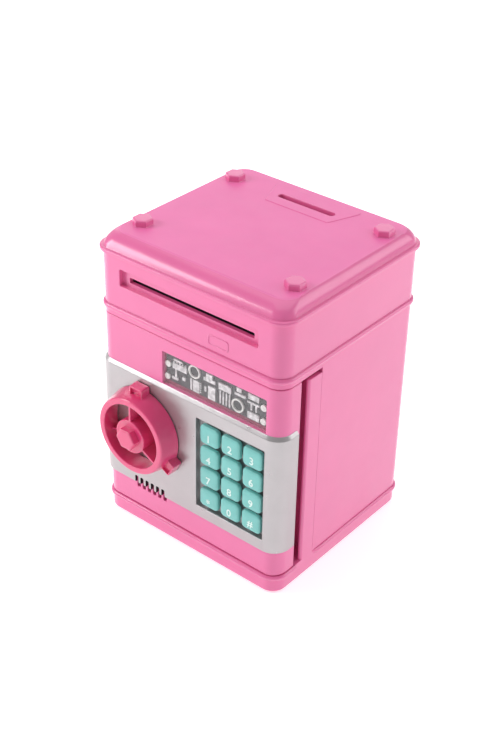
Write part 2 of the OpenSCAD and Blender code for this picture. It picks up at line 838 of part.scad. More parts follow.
// Rubber sheet that returns the keys.
module key_membrane() color([0.75, 0.78, 0.78]) placed() {
    block([8, membrane_y, 38], [56, board_y, 94.6]);
}

module control_board() color(green) placed() {
    y1 = board_y + 1.6;
    block([7, board_y, 36], [57, y1, 96.8]);
    block([22, y1 - eps, 60], [34, y1 + 1.6, 72]);
    block([40, y1 - eps, 80], [52, y1 + 4, 84]);
    block([12, y1 - eps, 44], [24, y1 + 4, 48]);
    for (x = [42, 49]) rod_y(x, 66, 2.6, y1 - eps, y1 + 4);
}

module speaker() color(black) placed() {
    x = -27.5;
    z = 31;
    rod_y(x, z, 13, door_in_y, -55.6);
    rod_y(x, z, 9.5, -55.6 - eps, -53.6);
    rod_y(x, z, 7.5, -53.6 - eps, -49.6);
}

// Inner cover of the door with a raised box that holds the latch.
module door_back_cover() color(deep_pink) placed() {
    difference() {
        union() {
            block([-in_x + 0.1, back_plate_y, door_in_z0 + 0.1],
                  [in_x - 0.1, door_rear_y, door_in_z1 - 0.1]);
            block([tray_x0, back_plate_y, tray_z0], [tray_x1, tray_y, tray_z1]);
        }
        block([tray_x0 + tray_wall, back_plate_y - 1, tray_z0 + tray_wall],
              [tray_x1 - tray_wall, tray_y - tray_wall, tray_z1 - tray_wall]);
        block([tray_x0 - 1, bolt_y0 - 0.3, bolt_z0 - 0.3],
              [tray_x0 + tray_wall + 1, bolt_y1 + 0.3, bolt_z1 + 0.3]);
        rod_y(knob_x, knob_z, 2.5 + run_play, tray_y - tray_wall - 1, tray_y + 1);
        for (p = door_screw_at) {
            rod_y(p[0], p[1], 1.3, back_plate_y - 1, door_rear_y + 1);
            rod_y(p[0], p[1], m2_head_r + 0.2, -46, door_rear_y + 1);
        }
    }
    bolt_rails();
}

// Rails that keep the bolt level inside the raised box.
module bolt_rails() {
    y1 = tray_y - tray_wall + tiny;
    block([tray_x0 + 1, bolt_y0, bolt_z0 - 1.6], [bolt_x1 + 2, y1, bolt_z0 - 0.3]);
    block([tray_x0 + 1, bolt_y0, bolt_z1 + 0.3], [-43.4, y1, bolt_z1 + 1.6]);
}

module door_screws() color(steel) placed() {
    for (p = door_screw_at) {
        rod_y(p[0], p[1], m2_head_r, -46, door_rear_y - 0.1);
        rod_y(p[0], p[1], m2_r, -54.5, -46 + eps);
    }
}

module lock_solenoid() color(steel) placed() {
    difference() {
        union() {
            block([knob_x - 7, -56.5, coil_z0], [knob_x + 7, -46.8, coil_z0 + 1.2]);
            block([knob_x - 7, -56.5, coil_z1 - 1.2], [knob_x + 7, -46.8, coil_z1]);
            block([knob_x - 7, -56.5, coil_z0], [knob_x - 5.8, -46.8, coil_z1]);
            block([knob_x + 5.8, -56.5, coil_z0], [knob_x + 7, -46.8, coil_z1]);
            rod_z(knob_x, lock_y, 4.6, coil_z0 + 1, coil_z1 - 1);
        }
        rod_z(knob_x, lock_y, plunger_r + run_play, coil_z0 - 1, coil_z1 + 1);
    }
}

module lock_plunger() color(steel) placed() {
    rod_z(knob_x, lock_y, plunger_r, coil_z0, 106);
    rod_z(knob_x, lock_y, 1.4, knob_z + disc_r + 0.6, coil_z0 + eps);
    rod_z(knob_x, lock_y, 3.3, 105.6, 106.6);
}

// Coil spring that lifts the plunger out of the disc.
module plunger_spring() color(steel) placed() {
    r = 2.75;
    wire = 0.25;
    turns = 5;
    z0 = coil_z1 + wire;
    rise = 5.6 - 2 * wire;
    sides = 6;
    per_turn = 14;
    rings = turns * per_turn;
    pts = [for (i = [0 : rings], j = [0 : sides - 1])
        let (a = 360 * i / per_turn, b = 360 * j / sides, q = r + wire * cos(b))
        [q * cos(a), q * sin(a), z0 + rise * i / rings + wire * sin(b)]];
    skin = [for (i = [0 : rings - 1], j = [0 : sides - 1])
        let (k = (j + 1) % sides)
        [i * sides + j, i * sides + k, (i + 1) * sides + k, (i + 1) * sides + j]];
    ends = [[for (j = [sides - 1 : -1 : 0]) j], [for (j = [0 : sides - 1]) rings * sides + j]];
    translate([knob_x, lock_y, 0])
        polyhedron(pts, concat(skin, ends));
}

// ---- handwheel and latch ----

// Rim, hub, three outer lobes, and three spokes, one of them low.
module knob_wheel() color(deep_pink) placed() {
    hub_r = 10.4;
    lobe_h = 6.2;
    lobe_w = 9.8;
    lobe_x = 22;
    spoke_w = 1.4;
    spoke_end = 21.4;
    difference() {
        translate([knob_x, knob_y0, knob_z])
            rotate([90, 0, 0])
                union() {
                    rotate_extrude()
                        polygon([[20.6, 0], [knob_r + 2.3, 0], [knob_r, knob_h], [19.7, knob_h]]);
                    cylinder(r = hub_r, h = knob_h);
                    for (a = [90, 210, 330]) {
                        rotate([0, 0, a])
                            translate([lobe_x, -lobe_w / 2, 0])
                                cube([lobe_r - lobe_x, lobe_w, lobe_h]);
                    }
                    for (s = [[90, 11.3], [198, 6], [330, 11.3]]) {
                        rotate([0, 0, s[0]])
                            translate([hub_r - 1, -spoke_w / 2, 1])
                                cube([spoke_end - hub_r + 1, spoke_w, s[1] - 1]);
                    }
                }
        rod_y(knob_x, knob_z, spindle_r + 0.02, knob_y1 + 1.3, knob_y0 + 1);
    }
}

module knob_cap() color(deep_pink) placed() {
    translate([knob_x, knob_y1, knob_z])
        rotate([90, 0, 0]) {
            cylinder(r = 6.9, h = cap_h - 0.6, $fn = 6);
            translate([0, 0, cap_h - 0.6]) cylinder(r1 = 6.9, r2 = 6.3, h = 0.6, $fn = 6);
        }
}

// Spindle with the lock disc and the pinion, running in the door and the inner cover.
module knob_spindle() color(white) placed() {
    rod_y(knob_x, knob_z, spindle_r, knob_y1 + 1.4, bolt_y0 + eps);
    rod_y(knob_x, knob_z, 2.5, bolt_y1 - eps, tray_y - 0.2);
    front_prism(bolt_y0, bolt_y1)
        translate([knob_x, knob_z])
            polygon(gear_outline(latch_teeth, latch_m, -90));
    difference() {
        rod_y(knob_x, knob_z, disc_r, disc_y0, disc_y1);
        for (a = [90, 90 + throw_angle]) {
            translate([knob_x, 0, knob_z])
                rotate([0, -a, 0])
                    translate([notch_r, disc_y0 - 1, -notch_w / 2])
                        cube([disc_r, 5, notch_w]);
        }
    }
}

// Bolt with a rack on its upper edge.
module latch_bolt() color(steel) placed() {
    pitch = PI * latch_m;
    rack_z = knob_z - latch_pitch_r;
    half = pitch / 4 - backlash / 2;
    slope = tan(pressure);
    front_prism(bolt_y0, bolt_y1) {
        polygon([[bolt_x0 + 2, bolt_z0], [bolt_x1, bolt_z0], [bolt_x1, bolt_z1],
                 [bolt_x0, bolt_z1], [bolt_x0, bolt_z0 + 2]]);
        for (i = [-2 : 3]) {
            x = knob_x + (i + 0.5) * pitch;
            low = half + dedendum * latch_m * slope;
            high = half - addendum * latch_m * slope;
            polygon([[x - low, bolt_z1 - tiny], [x + low, bolt_z1 - tiny], [x + low, bolt_z1],
                     [x + high, rack_z + addendum * latch_m],
                     [x - high, rack_z + addendum * latch_m], [x - low, bolt_z1]]);
        }
    }
}

// ---- keys ----

function key_x(c) = keypad_x + (c - 1) * key_pitch_x;
function key_z(r) = pocket_z + (1.5 - r) * key_pitch_z;

// One key: cap, stem through the pocket floor, and the collar that holds it in.
module key_button(c, r) {
    front_prism(key_front_y, key_back_y)
        translate([key_x(c), key_z(r)])
            polygon(round_rect(key_w / 2, key_h / 2, 1.8, 5));
    rod_y(key_x(c), key_z(r), stem_r, key_back_y - eps, stem_end_y);
    rod_y(key_x(c), key_z(r), 3.4, stem_end_y - 0.7, stem_end_y);
}

module key_1() color(turquoise) placed() key_button(0, 0);
module key_2() color(turquoise) placed() key_button(1, 0);
module key_3() color(turquoise) placed() key_button(2, 0);
module key_4() color(turquoise) placed() key_button(0, 1);
module key_5() color(turquoise) placed() key_button(1, 1);
module key_6() color(turquoise) placed() key_button(2, 1);
module key_7() color(turquoise) placed() key_button(0, 2);
module key_8() color(turquoise) placed() key_button(1, 2);
module key_9() color(turquoise) placed() key_button(2, 2);
module key_star() color(turquoise) placed() key_button(0, 3);
module key_0() color(turquoise) placed() key_button(1, 3);
module key_hash() color(turquoise) placed() key_button(2, 3);

base_plinth();
body_shell();
head_housing();
top_lid();
lid_hex_caps();
mechanism_deck();
coin_chute();
note_guide();
note_deflector();
left_bearing_plate();
right_bearing_plate();
feed_motor();
reduction_axle();
note_sensor();
battery_box();
battery_cells();
battery_contacts();
rubber_feet();
case_screws();
base_screws();
hinge_pins();
strike_plate();
motor_pinion();
reduction_gear();
feed_shaft();
feed_rollers();
roller_gear();
pinch_shaft();
pinch_rollers();
battery_cover();
battery_cover_screw();
door_shell();
fascia_plate();
window_lens();
window_card();
indicator_leds();
key_membrane();
control_board();
speaker();
door_back_cover();
door_screws();
lock_solenoid();
knob_wheel();
knob_cap();
knob_spindle();
latch_bolt();
lock_plunger();
plunger_spring();
key_1();
key_2();
key_3();
key_4();
key_5();
key_6();
key_7();
key_8();
key_9();
key_star();
key_0();
key_hash();
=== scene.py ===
import math
import bpy
import bmesh
from mathutils import Matrix, Vector
from mathutils.geometry import tessellate_polygon


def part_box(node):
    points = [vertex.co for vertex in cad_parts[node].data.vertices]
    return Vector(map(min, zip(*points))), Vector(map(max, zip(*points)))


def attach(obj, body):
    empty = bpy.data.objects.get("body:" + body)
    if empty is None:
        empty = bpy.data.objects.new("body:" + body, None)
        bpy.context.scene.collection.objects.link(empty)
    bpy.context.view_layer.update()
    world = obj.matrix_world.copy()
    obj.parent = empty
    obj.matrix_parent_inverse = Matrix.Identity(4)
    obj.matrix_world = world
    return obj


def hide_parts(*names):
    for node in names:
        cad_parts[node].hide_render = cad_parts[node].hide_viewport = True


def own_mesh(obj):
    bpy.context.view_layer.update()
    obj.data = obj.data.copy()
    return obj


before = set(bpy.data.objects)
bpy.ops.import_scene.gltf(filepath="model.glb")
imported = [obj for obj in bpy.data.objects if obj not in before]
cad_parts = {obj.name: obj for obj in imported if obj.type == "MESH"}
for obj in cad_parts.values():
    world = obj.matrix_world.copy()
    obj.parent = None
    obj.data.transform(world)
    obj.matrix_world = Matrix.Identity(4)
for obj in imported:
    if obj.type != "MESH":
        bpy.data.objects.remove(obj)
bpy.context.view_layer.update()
scene = bpy.context.scene

# Lengths are in millimetres from the middle of the case walls, as in the CAD source.
MM = 0.001
_lo, _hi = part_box("body_shell")
MID_Y = (_lo.y + _hi.y) / 2

HX, HY, R, WALL = 64.0, 59.7, 9.0, 2.4
CUT_Y = -26.7
KX, KZ = -30.3, 71.6
FACE_Y = -61.3
# Points nearer than this are one point.
WELD = 0.004

# ---------------------------------------------------------------- mesh helpers


class Build:
    """A mesh under construction, in millimetres."""

    def __init__(self):
        self.bm = bmesh.new()
        self.mat = 0

    def loop(self, pts):
        return [self.bm.verts.new(p) for p in pts]

    def face(self, verts):
        uniq = list(dict.fromkeys(verts))
        if len(uniq) < 3:
            return None
        try:
            f = self.bm.faces.new(uniq)
        except ValueError:
            return None
        f.material_index = self.mat
        return f

    def bridge(self, a, b, skip=(), only=None):
        n = len(a)
        for i in range(n):
            if i in skip or (only is not None and i not in only):
                continue
            j = (i + 1) % n
            self.face((a[i], a[j], b[j], b[i]))

    def loft(self, loops, closed=False, skip=None):
        skip = skip or {}
        for k in range(len(loops) - 1):
            self.bridge(loops[k], loops[k + 1], skip.get(k, ()))
        if closed:
            self.bridge(loops[-1], loops[0], skip.get(len(loops) - 1, ()))

    def flat(self, loops, axes=(0, 2)):
        """Fills the area between the first loop and the others, which are holes in it."""
        u, w = axes
        every = [v for l in loops for v in l]
        tris = tessellate_polygon([[Vector((v.co[u], v.co[w], 0)) for v in l] for l in loops])
        for t in tris:
            self.face([every[i] for i in t])

    def block(self, lo, hi, e=0.0):
        """A box with small bevels all round."""
        x0, y0, z0 = lo
        x1, y1, z1 = hi
        if e <= 0:
            levels = [(0, z0), (0, z1)]
        else:
            levels = [(e, z0), (0.3 * e, z0 + 0.3 * e), (0, z0 + e),
                      (0, z1 - e), (0.3 * e, z1 - 0.3 * e), (e, z1)]
        loops = [self.loop([(x, y, z) for x, y in
                            rrect(x0 + i, x1 - i, y0 + i, y1 - i, max(e - i, 0.02), 2)])
                 for i, z in levels]
        self.loft(loops)
        self.flat([loops[0]], (0, 1))
        self.flat([loops[-1]], (0, 1))


def arc(cx, cy, r, a0, a1, n):
    return [(cx + r * math.cos(math.radians(a0 + (a1 - a0) * i / n)),
             cy + r * math.sin(math.radians(a0 + (a1 - a0) * i / n))) for i in range(n + 1)]


def circle_at(cx, cy, r, n, z):
    """A level circle of n points at height z."""
    return [(cx + r * math.cos(2 * t * math.pi / n), cy + r * math.sin(2 * t * math.pi / n), z)
            for t in range(n)]


def rrect(x0, x1, y0, y1, r, n=5):
    """Rectangle with round corners. Its last edge, back to the start, is the low-y one."""
    r = max(min(r, (x1 - x0) / 2 - 1e-3, (y1 - y0) / 2 - 1e-3), 2e-3)
    return (arc(x1 - r, y0 + r, r, -90, 0, n) + arc(x1 - r, y1 - r, r, 0, 90, n)
            + arc(x0 + r, y1 - r, r, 90, 180, n) + arc(x0 + r, y0 + r, r, 180, 270, n))


def offset_poly(pts, d):
    """A convex polygon, counterclockwise, with its sides moved outwards by d."""
    n = len(pts)
    lines = []
    for i in range(n):
        p, q = Vector(pts[i]), Vector(pts[(i + 1) % n])
        t = (q - p).normalized()
        m = Vector((t.y, -t.x))
        lines.append((p + m * d, t))
    out = []
    for i in range(n):
        (p, t), (q, s) = lines[i - 1], lines[i]
        k = (q - p).cross(s) / t.cross(s)
        out.append(tuple(p + t * k))
    return out


def round_poly(pts, r, n=4):
    """A convex polygon, counterclockwise, with round corners."""
    out = []
    m = len(pts)
    for i in range(m):
        p, a, c = Vector(pts[i]), Vector(pts[i - 1]), Vector(pts[(i + 1) % m])
        u, v = (a - p).normalized(), (c - p).normalized()
        half = math.acos(max(-1, min(1, u.dot(v)))) / 2
        centre = p + (u + v).normalized() * (r / math.sin(half))
        s, e = p + u * (r / math.tan(half)) - centre, p + v * (r / math.tan(half)) - centre
        a0, a1 = math.atan2(s.y, s.x), math.atan2(e.y, e.x)
        while a1 < a0:
            a1 += 2 * math.pi
        out += [(centre.x + r * math.cos(a0 + (a1 - a0) * k / n),
                 centre.y + r * math.sin(a0 + (a1 - a0) * k / n)) for k in range(n + 1)]
    return out


def fillet(e, n=4):
    """Steps of a round edge of radius e: how far out from the hole, how deep below the face."""
    return [(e - e * math.sin(math.pi / 2 * k / n), e - e * math.cos(math.pi / 2 * k / n))
            for k in range(n + 1)]


# Plan of the case walls as points with their outward normals. Extra points on the sides let
# a bead stop, and let the shell be cut.
SIDE_Y = [-42.6, -40.6, CUT_Y, -25.2, -22.4]
NC = 10


def case_plan():
    out = []
    for cx, cy, a0 in ((HX - R, -HY + R, -90), (HX - R, HY - R, 0),
                       (R - HX, HY - R, 90), (R - HX, -HY + R, 180)):
        for i in range(NC + 1):
            a = math.radians(a0 + 90 * i / NC)
            out.append((cx + R * math.cos(a), cy + R * math.sin(a), math.cos(a), math.sin(a)))
        if a0 == -90:
            out += [(HX, y, 1.0, 0.0) for y in SIDE_Y]
        if a0 == 90:
            out += [(-HX, y, -1.0, 0.0) for y in reversed(SIDE_Y)]
    return out


PLAN = case_plan()
FRONT_EDGE = len(PLAN) - 1
CUT_R = next(i for i, p in enumerate(PLAN) if p[0] > 0 and abs(p[1] - CUT_Y) < 1e-6 and p[2] == 1)
CUT_L = next(i for i, p in enumerate(PLAN) if p[0] < 0 and abs(p[1] - CUT_Y) < 1e-6 and p[2] == -1)


def ring(g, z, weight=None):
    """The case plan grown by g, at height z."""
    return [(x + nx * g * (weight(x, y) if weight else 1),
             y + ny * g * (weight(x, y) if weight else 1), z) for x, y, nx, ny in PLAN]


def finish_piece(b, name, body, mats, replaces=(), angle=32):
    bm = b.bm
    bmesh.ops.remove_doubles(bm, verts=bm.verts, dist=WELD)
    bmesh.ops.dissolve_degenerate(bm, dist=1e-4, edges=bm.edges)
    bmesh.ops.recalc_face_normals(bm, faces=bm.faces)
    bm.transform(Matrix.Translation((0, MID_Y, 0)) @ Matrix.Scale(MM, 4))
    mesh = bpy.data.meshes.new(name)
    bm.to_mesh(mesh)
    bm.free()
    return place_mesh(mesh, name, body, mats, replaces, angle)


def place_mesh(mesh, name, body, mats, replaces=(), angle=32):
    mesh.polygons.foreach_set("use_smooth", [True] * len(mesh.polygons))
    mesh.set_sharp_from_angle(angle=math.radians(angle))
    o = bpy.data.objects.new(name, mesh)
    scene.collection.objects.link(o)
    for m in mats if isinstance(mats, (list, tuple)) else [mats]:
        mesh.materials.append(m)
    w = o.modifiers.new("normals", "WEIGHTED_NORMAL")
    w.keep_sharp = True
    w.weight = 60
    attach(o, body)
    if replaces:
        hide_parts(*([replaces] if isinstance(replaces, str) else replaces))
    return o


def soften(o, width):
    m = o.modifiers.new("edges", "BEVEL")
    m.width = width * MM
    m.segments = 2
    m.limit_method = "ANGLE"
    m.angle_limit = math.radians(40)
    m.harden_normals = False
    m.use_clamp_overlap = True
    return m


# ---------------------------------------------------------------- materials


def srgb(r, g, b):
    return tuple(((c / 255) / 12.92 if c / 255 <= 0.04045 else ((c / 255 + 0.055) / 1.055) ** 2.4)
                 for c in (r, g, b))


def material(name, colour, rough=0.35, rough_var=0.06, mottle=0.03, mottle_size=18.0,
             grain=0.04, grain_size=0.35, metallic=0.0, coat=0.0, coat_rough=0.1, spec=0.5,
             sss=0.0, sss_colour=None, alpha=1.0, ior=1.47, flow=None,
             painted_gap_shade=0.0):
    """A moulded or painted surface: slight mottling, uneven gloss and a fine grain."""
    m = bpy.data.materials.new(name)
    m.use_nodes = True
    nt = m.node_tree
    nodes, links = nt.nodes, nt.links
    bsdf = nodes["Principled BSDF"]
    coord = nodes.new("ShaderNodeTexCoord")
    scale = nodes.new("ShaderNodeMapping")
    if flow:
        scale.inputs["Scale"].default_value = flow
    links.new(coord.outputs["Object"], scale.inputs["Vector"])

    def noise(size_mm, detail, rough_amount=0.5):
        n = nodes.new("ShaderNodeTexNoise")
        n.inputs["Scale"].default_value = 1000.0 / size_mm
        n.inputs["Detail"].default_value = detail
        n.inputs["Roughness"].default_value = rough_amount
        links.new(scale.outputs["Vector"], n.inputs["Vector"])
        return n

    blotch = noise(mottle_size, 3.0)
    ramp = nodes.new("ShaderNodeMapRange")
    ramp.inputs["From Min"].default_value = 0.3
    ramp.inputs["From Max"].default_value = 0.7
    links.new(blotch.outputs["Fac"], ramp.inputs["Value"])
    mix = nodes.new("ShaderNodeMix")
    mix.data_type = "RGBA"
    dark = tuple(c * (1 - mottle * 1.4) for c in colour) + (1,)
    light = tuple(min(1, c * (1 + mottle)) for c in colour) + (1,)
    mix.inputs["A"].default_value = dark
    mix.inputs["B"].default_value = light
    links.new(ramp.outputs["Result"], mix.inputs["Factor"])
    out_colour = mix.outputs["Result"]
    # Painted shade: darkens the colour in crevices and gaps by ambient occlusion, standing in for
    # the shade that falls there. No material here turns it on.
    if painted_gap_shade > 0:
        ao = nodes.new("ShaderNodeAmbientOcclusion")
        ao.inputs["Distance"].default_value = 0.004
        ao.samples = 6
        gap = nodes.new("ShaderNodeMix")
        gap.data_type = "RGBA"
        gap.inputs["A"].default_value = tuple(c * (1 - painted_gap_shade) for c in colour) + (1,)
        links.new(ao.outputs["AO"], gap.inputs["Factor"])
        links.new(out_colour, gap.inputs["B"])
        out_colour = gap.outputs["Result"]
    links.new(out_colour, bsdf.inputs["Base Color"])

    gloss = noise(mottle_size * 0.45, 4.0, 0.6)
    rr = nodes.new("ShaderNodeMapRange")
    rr.inputs["From Min"].default_value = 0.3
    rr.inputs["From Max"].default_value = 0.7
    rr.inputs["To Min"].default_value = max(0.02, rough - rough_var)
    rr.inputs["To Max"].default_value = min(1.0, rough + rough_var)
    links.new(gloss.outputs["Fac"], rr.inputs["Value"])
    links.new(rr.outputs["Result"], bsdf.inputs["Roughness"])

    if grain > 0:
        fine = noise(grain_size, 2.0)
        wave = noise(9.0, 1.0)
        add = nodes.new("ShaderNodeMath")
        add.operation = "MULTIPLY_ADD"
        add.inputs[1].default_value = 6.0
        links.new(wave.outputs["Fac"], add.inputs[0])
        links.new(fine.outputs["Fac"], add.inputs[2])
        bump = nodes.new("ShaderNodeBump")
        bump.inputs["Strength"].default_value = grain
        bump.inputs["Distance"].default_value = 0.0002
        links.new(add.outputs["Value"], bump.inputs["Height"])
        links.new(bump.outputs["Normal"], bsdf.inputs["Normal"])
    bsdf.inputs["Metallic"].default_value = metallic
    bsdf.inputs["Specular IOR Level"].default_value = spec
    bsdf.inputs["IOR"].default_value = ior
    bsdf.inputs["Coat Weight"].default_value = coat
    bsdf.inputs["Coat Roughness"].default_value = coat_rough
    if sss > 0:
        bsdf.inputs["Subsurface Weight"].default_value = sss
        bsdf.inputs["Subsurface Radius"].default_value = sss_colour or (1.0, 0.35, 0.5)
        bsdf.inputs["Subsurface Scale"].default_value = 0.0015
    bsdf.inputs["Alpha"].default_value = alpha
    return m


PINK = material("pink_gloss", (0.83, 0.15, 0.375), rough=0.33, rough_var=0.05, mottle=0.018,
                mottle_size=26, grain=0.05, coat=0.8, coat_rough=0.16, sss=0.10)
TOP_PINK = material("pink_satin_top", (0.85, 0.175, 0.43), rough=0.46, rough_var=0.05,
                    mottle=0.02, mottle_size=24, grain=0.09, grain_size=0.28, coat=0.3,
                    coat_rough=0.35, sss=0.10)
WHEEL = material("wheel_pink_gloss", (0.78, 0.055, 0.20), rough=0.34, rough_var=0.06,
                 mottle=0.025, mottle_size=14, grain=0.06, coat=0.9, coat_rough=0.18, sss=0.08)
SILVER = material("satin_silver", (0.49, 0.465, 0.475), rough=0.32, rough_var=0.05, mottle=0.02,
                  mottle_size=12, grain=0.10, grain_size=0.18, metallic=0.75, coat=0.2,
                  coat_rough=0.2)
KEY = material("turquoise_key", (0.20, 0.575, 0.54), rough=0.38, rough_var=0.06, mottle=0.03,
               mottle_size=6, grain=0.06, grain_size=0.2, coat=0.15, coat_rough=0.2, sss=0.1,
               sss_colour=(0.3, 1.0, 0.9))
DIGIT = material("pale_digit_ink", srgb(226, 245, 240), rough=0.5, mottle=0.02, mottle_size=3,
                 grain=0.05, grain_size=0.15)
STEEL = material("zinc_steel", (0.56, 0.57, 0.59), rough=0.30, rough_var=0.08, mottle=0.06,
                 mottle_size=5, grain=0.08, grain_size=0.15, metallic=1.0, flow=(1, 1, 0.25))
WHITE = material("white_moulding", srgb(232, 230, 224), rough=0.45, mottle=0.02, mottle_size=15,
                 grain=0.07, grain_size=0.3)
NYLON = material("nylon_gear", srgb(238, 234, 220), rough=0.4, mottle=0.03, mottle_size=6,
                 grain=0.05, sss=0.2, sss_colour=(1, 0.9, 0.8))
RUBBER = material("black_rubber_matte", (0.02, 0.02, 0.021), rough=0.72, mottle=0.25,
                  mottle_size=4, grain=0.2, grain_size=0.25)
BLACK = material("black_moulding", (0.018, 0.018, 0.02), rough=0.42, mottle=0.1, mottle_size=8,
                 grain=0.1, grain_size=0.25)
SOFT_GREY = material("grey_silicone", srgb(176, 184, 184), rough=0.6, mottle=0.04, mottle_size=6,
                     grain=0.1)
BOARD = material("green_board", (0.02, 0.14, 0.06), rough=0.32, mottle=0.2, mottle_size=3,
                 grain=0.08, coat=0.4)
CARD = material("window_card_grey", (0.055, 0.045, 0.055), rough=0.5, mottle=0.3, mottle_size=5,
                grain=0.15, grain_size=0.5)
RELIEF = material("window_relief_silver", (0.68, 0.64, 0.66), rough=0.36, mottle=0.3,
                  mottle_size=2.5, grain=0.12, grain_size=0.3, metallic=0.2)
# Painted shade: dark magenta that stands in for the shaded sill and reveal of the window opening.
SILL_SHADE_PAINT = material("window_sill_painted_shade", (0.30, 0.022, 0.085), rough=0.5, mottle=0.08,
                mottle_size=6, grain=0.05, grain_size=0.3)
LAMP = material("frosted_lamp", srgb(228, 224, 222), rough=0.35, mottle=0.08, mottle_size=2,
                grain=0.05, sss=0.3, sss_colour=(1, 1, 1))
CELL = material("cell_wrap", (0.05, 0.06, 0.09), rough=0.3, mottle=0.1, mottle_size=9, grain=0.04,
                coat=0.3)
LENS = material("clear_lens", (0.95, 0.97, 0.98), rough=0.06, rough_var=0.02, mottle=0.01,
                grain=0.015, alpha=0.06, ior=1.47, spec=0.3)

# ---------------------------------------------------------------- lid


def build_lid():
    b = Build()
    n = 9

    def plan(side, front, rear, r, z):
        return b.loop([(x, y, z) for x, y in
                       rrect(-HX + side, HX - side, -HY + front, HY - rear, r, n)])

    def grown(g, z):
        return plan(-g, -g, -g, R + g, z)

    inner = [plan(7.4, 11.6, 6.6, 6.6, 179.1), plan(4.4, 6.6, 4.2, 6.6, 177.6),
             plan(2.9, 3.6, 2.9, 6.6, 175.2), grown(-WALL, 173.6), grown(-WALL, 172.2)]
    lip = [grown(g, z) for g, z in
           ((1.45, 172.2), (1.82, 172.33), (2.0, 172.7), (2.0, 173.62), (1.9, 174.02),
            (1.62, 174.32), (1.2, 174.47), (0.55, 174.5), (0.12, 174.5))]
    crown = []
    for k in range(0, 13):
        t = k / 12

        def bez(p1x, p2x):
            return 2 * t * (1 - t) * p1x + t * t * p2x
        z = (1 - t) ** 2 * 174.58 + 2 * t * (1 - t) * 179.9 + t * t * 181.6
        crown.append(plan(bez(1.25, 5.0), bez(2.3, 9.2), bez(1.05, 4.2), R, z))
    b.loft(inner + lip + crown)
    trap = [(-21.5, 29.5), (21.5, 29.5), (29.5, 51), (-29.5, 51)]
    edge = [b.loop([(x, y, z) for x, y in round_poly(offset_poly(trap, g), 1.6, 4)])
            for g, z in ((0.5, 181.6), (0.28, 181.64), (0.1, 181.74), (0.0, 181.86), (-0.1, 181.94),
                         (-0.35, 182.0))]
    b.loft(edge)
    slot = [b.loop([(x, y, z) for x, y in
                    rrect(-19.2 - g, 19.2 + g, 39.25 - 2.1 - g, 39.25 + 2.1 + g, 2.05 + g, 6)])
            for g, z in [(f, 182.0 - d) for f, d in fillet(0.45)] + [(0, 179.1)]]
    b.loft(slot)
    b.flat([crown[-1], edge[0]], (0, 1))
    b.flat([edge[-1], slot[0]], (0, 1))
    b.flat([inner[0], slot[-1]], (0, 1))
    o = finish_piece(b, "lid_moulding", "housing", [PINK, TOP_PINK], "top_lid")
    for p in o.data.polygons:
        if p.center.z > 0.18125 and abs(p.normal.z) > 0.9:
            p.material_index = 1
    return o


def build_hex_caps():
    b = Build()
    for x in (-51.6, 51.6):
        for y in (-36.5, 39.9):
            loops = []
            for r, z in ((6.05, 181.5), (5.85, 181.75), (5.8, 182.0), (5.78, 184.3), (5.66, 184.72),
                         (5.36, 185.02), (4.9, 185.17), (4.3, 185.2)):
                hexagon = [(r * math.cos(math.radians(a)), r * math.sin(math.radians(a)))
                           for a in range(30, 390, 60)]
                loops.append(b.loop([(x + u, y + v, z) for u, v in round_poly(hexagon, 0.45, 3)]))
            b.loft(loops)
            b.flat([loops[0]], (0, 1))
            b.flat([loops[-1]], (0, 1))
    return finish_piece(b, "lid_bolt_caps", "housing", PINK, "lid_hex_caps")


# ---------------------------------------------------------------- head


def build_head():
    b = Build()
    ys = -HY
    outer = [b.loop(ring(g, z)) for g, z in
             ((-WALL, 141.0), (-0.5, 141.0), (-0.12, 141.12), (0, 141.5), (0, 172.2),
              (-WALL, 172.2), (-WALL, 141.0))]
    b.loft(outer, skip={3: (FRONT_EDGE,), 5: (FRONT_EDGE,)})
    last = FRONT_EDGE

    def plate(lo_ring, hi_ring):
        return [lo_ring[last], lo_ring[0], hi_ring[0], hi_ring[last]]

    recess = [b.loop([(x, ys + d, z) for x, z in
                      rrect(-47.4 - g, 47.4 + g, 154.7 - g, 164.6 + g, 0.9 + g)])
              for g, d in fillet(0.5) + [(0, 2.7), (-0.1, 2.92), (-0.3, 3.0)]]
    b.loft(recess)
    slot = [b.loop([(x, ys + d, z) for x, z in
                    rrect(-42.7 - g, 42.7 + g, 157.0 - g, 160.2 + g, 0.6 + g, 4)])
            for g, d in ((0.25, 3.0), (0.08, 3.07), (0, 3.25), (0, 5.4))]
    b.loft(slot)
    bump = [b.loop([(x, ys + d, z) for x, z in rrect(-50.4, 50.4, 152.0, 167.4, 0.8)])
            for d in (WALL, 5.4)]
    b.loft(bump)
    b.flat([plate(outer[3], outer[4]), recess[0]])
    b.flat([recess[-1], slot[0]])
    b.flat([plate(outer[6], outer[5]), bump[0]])
    b.flat([bump[-1], slot[-1]])
    # Plain raised frame under the recess.
    x0, x1, z0, z1 = 14.5, 28.5, 144.0, 150.3
    rim = [b.loop([(x, ys - h, z) for x, z in
                   rrect(x0 + g, x1 - g, z0 + g, z1 - g, 1.6 - g * 0.7, 4)])
           for g, h in ((0, -0.1), (0, 0.12), (0.12, 0.26), (0.3, 0.32), (0.65, 0.32),
                        (0.83, 0.26), (0.95, 0.12), (0.95, -0.1))]
    b.loft(rim, closed=True)
    return finish_piece(b, "head_moulding", "housing", PINK, "head_housing")


# ---------------------------------------------------------------- shell and plinth

BEAD = ((0.0, -1.75), (0.42, -1.6), (0.85, -1.3), (1.15, -0.85), (1.3, -0.3), (1.3, 0.35),
        (1.15, 0.85), (0.85, 1.25), (0.42, 1.5), (0.05, 1.6))


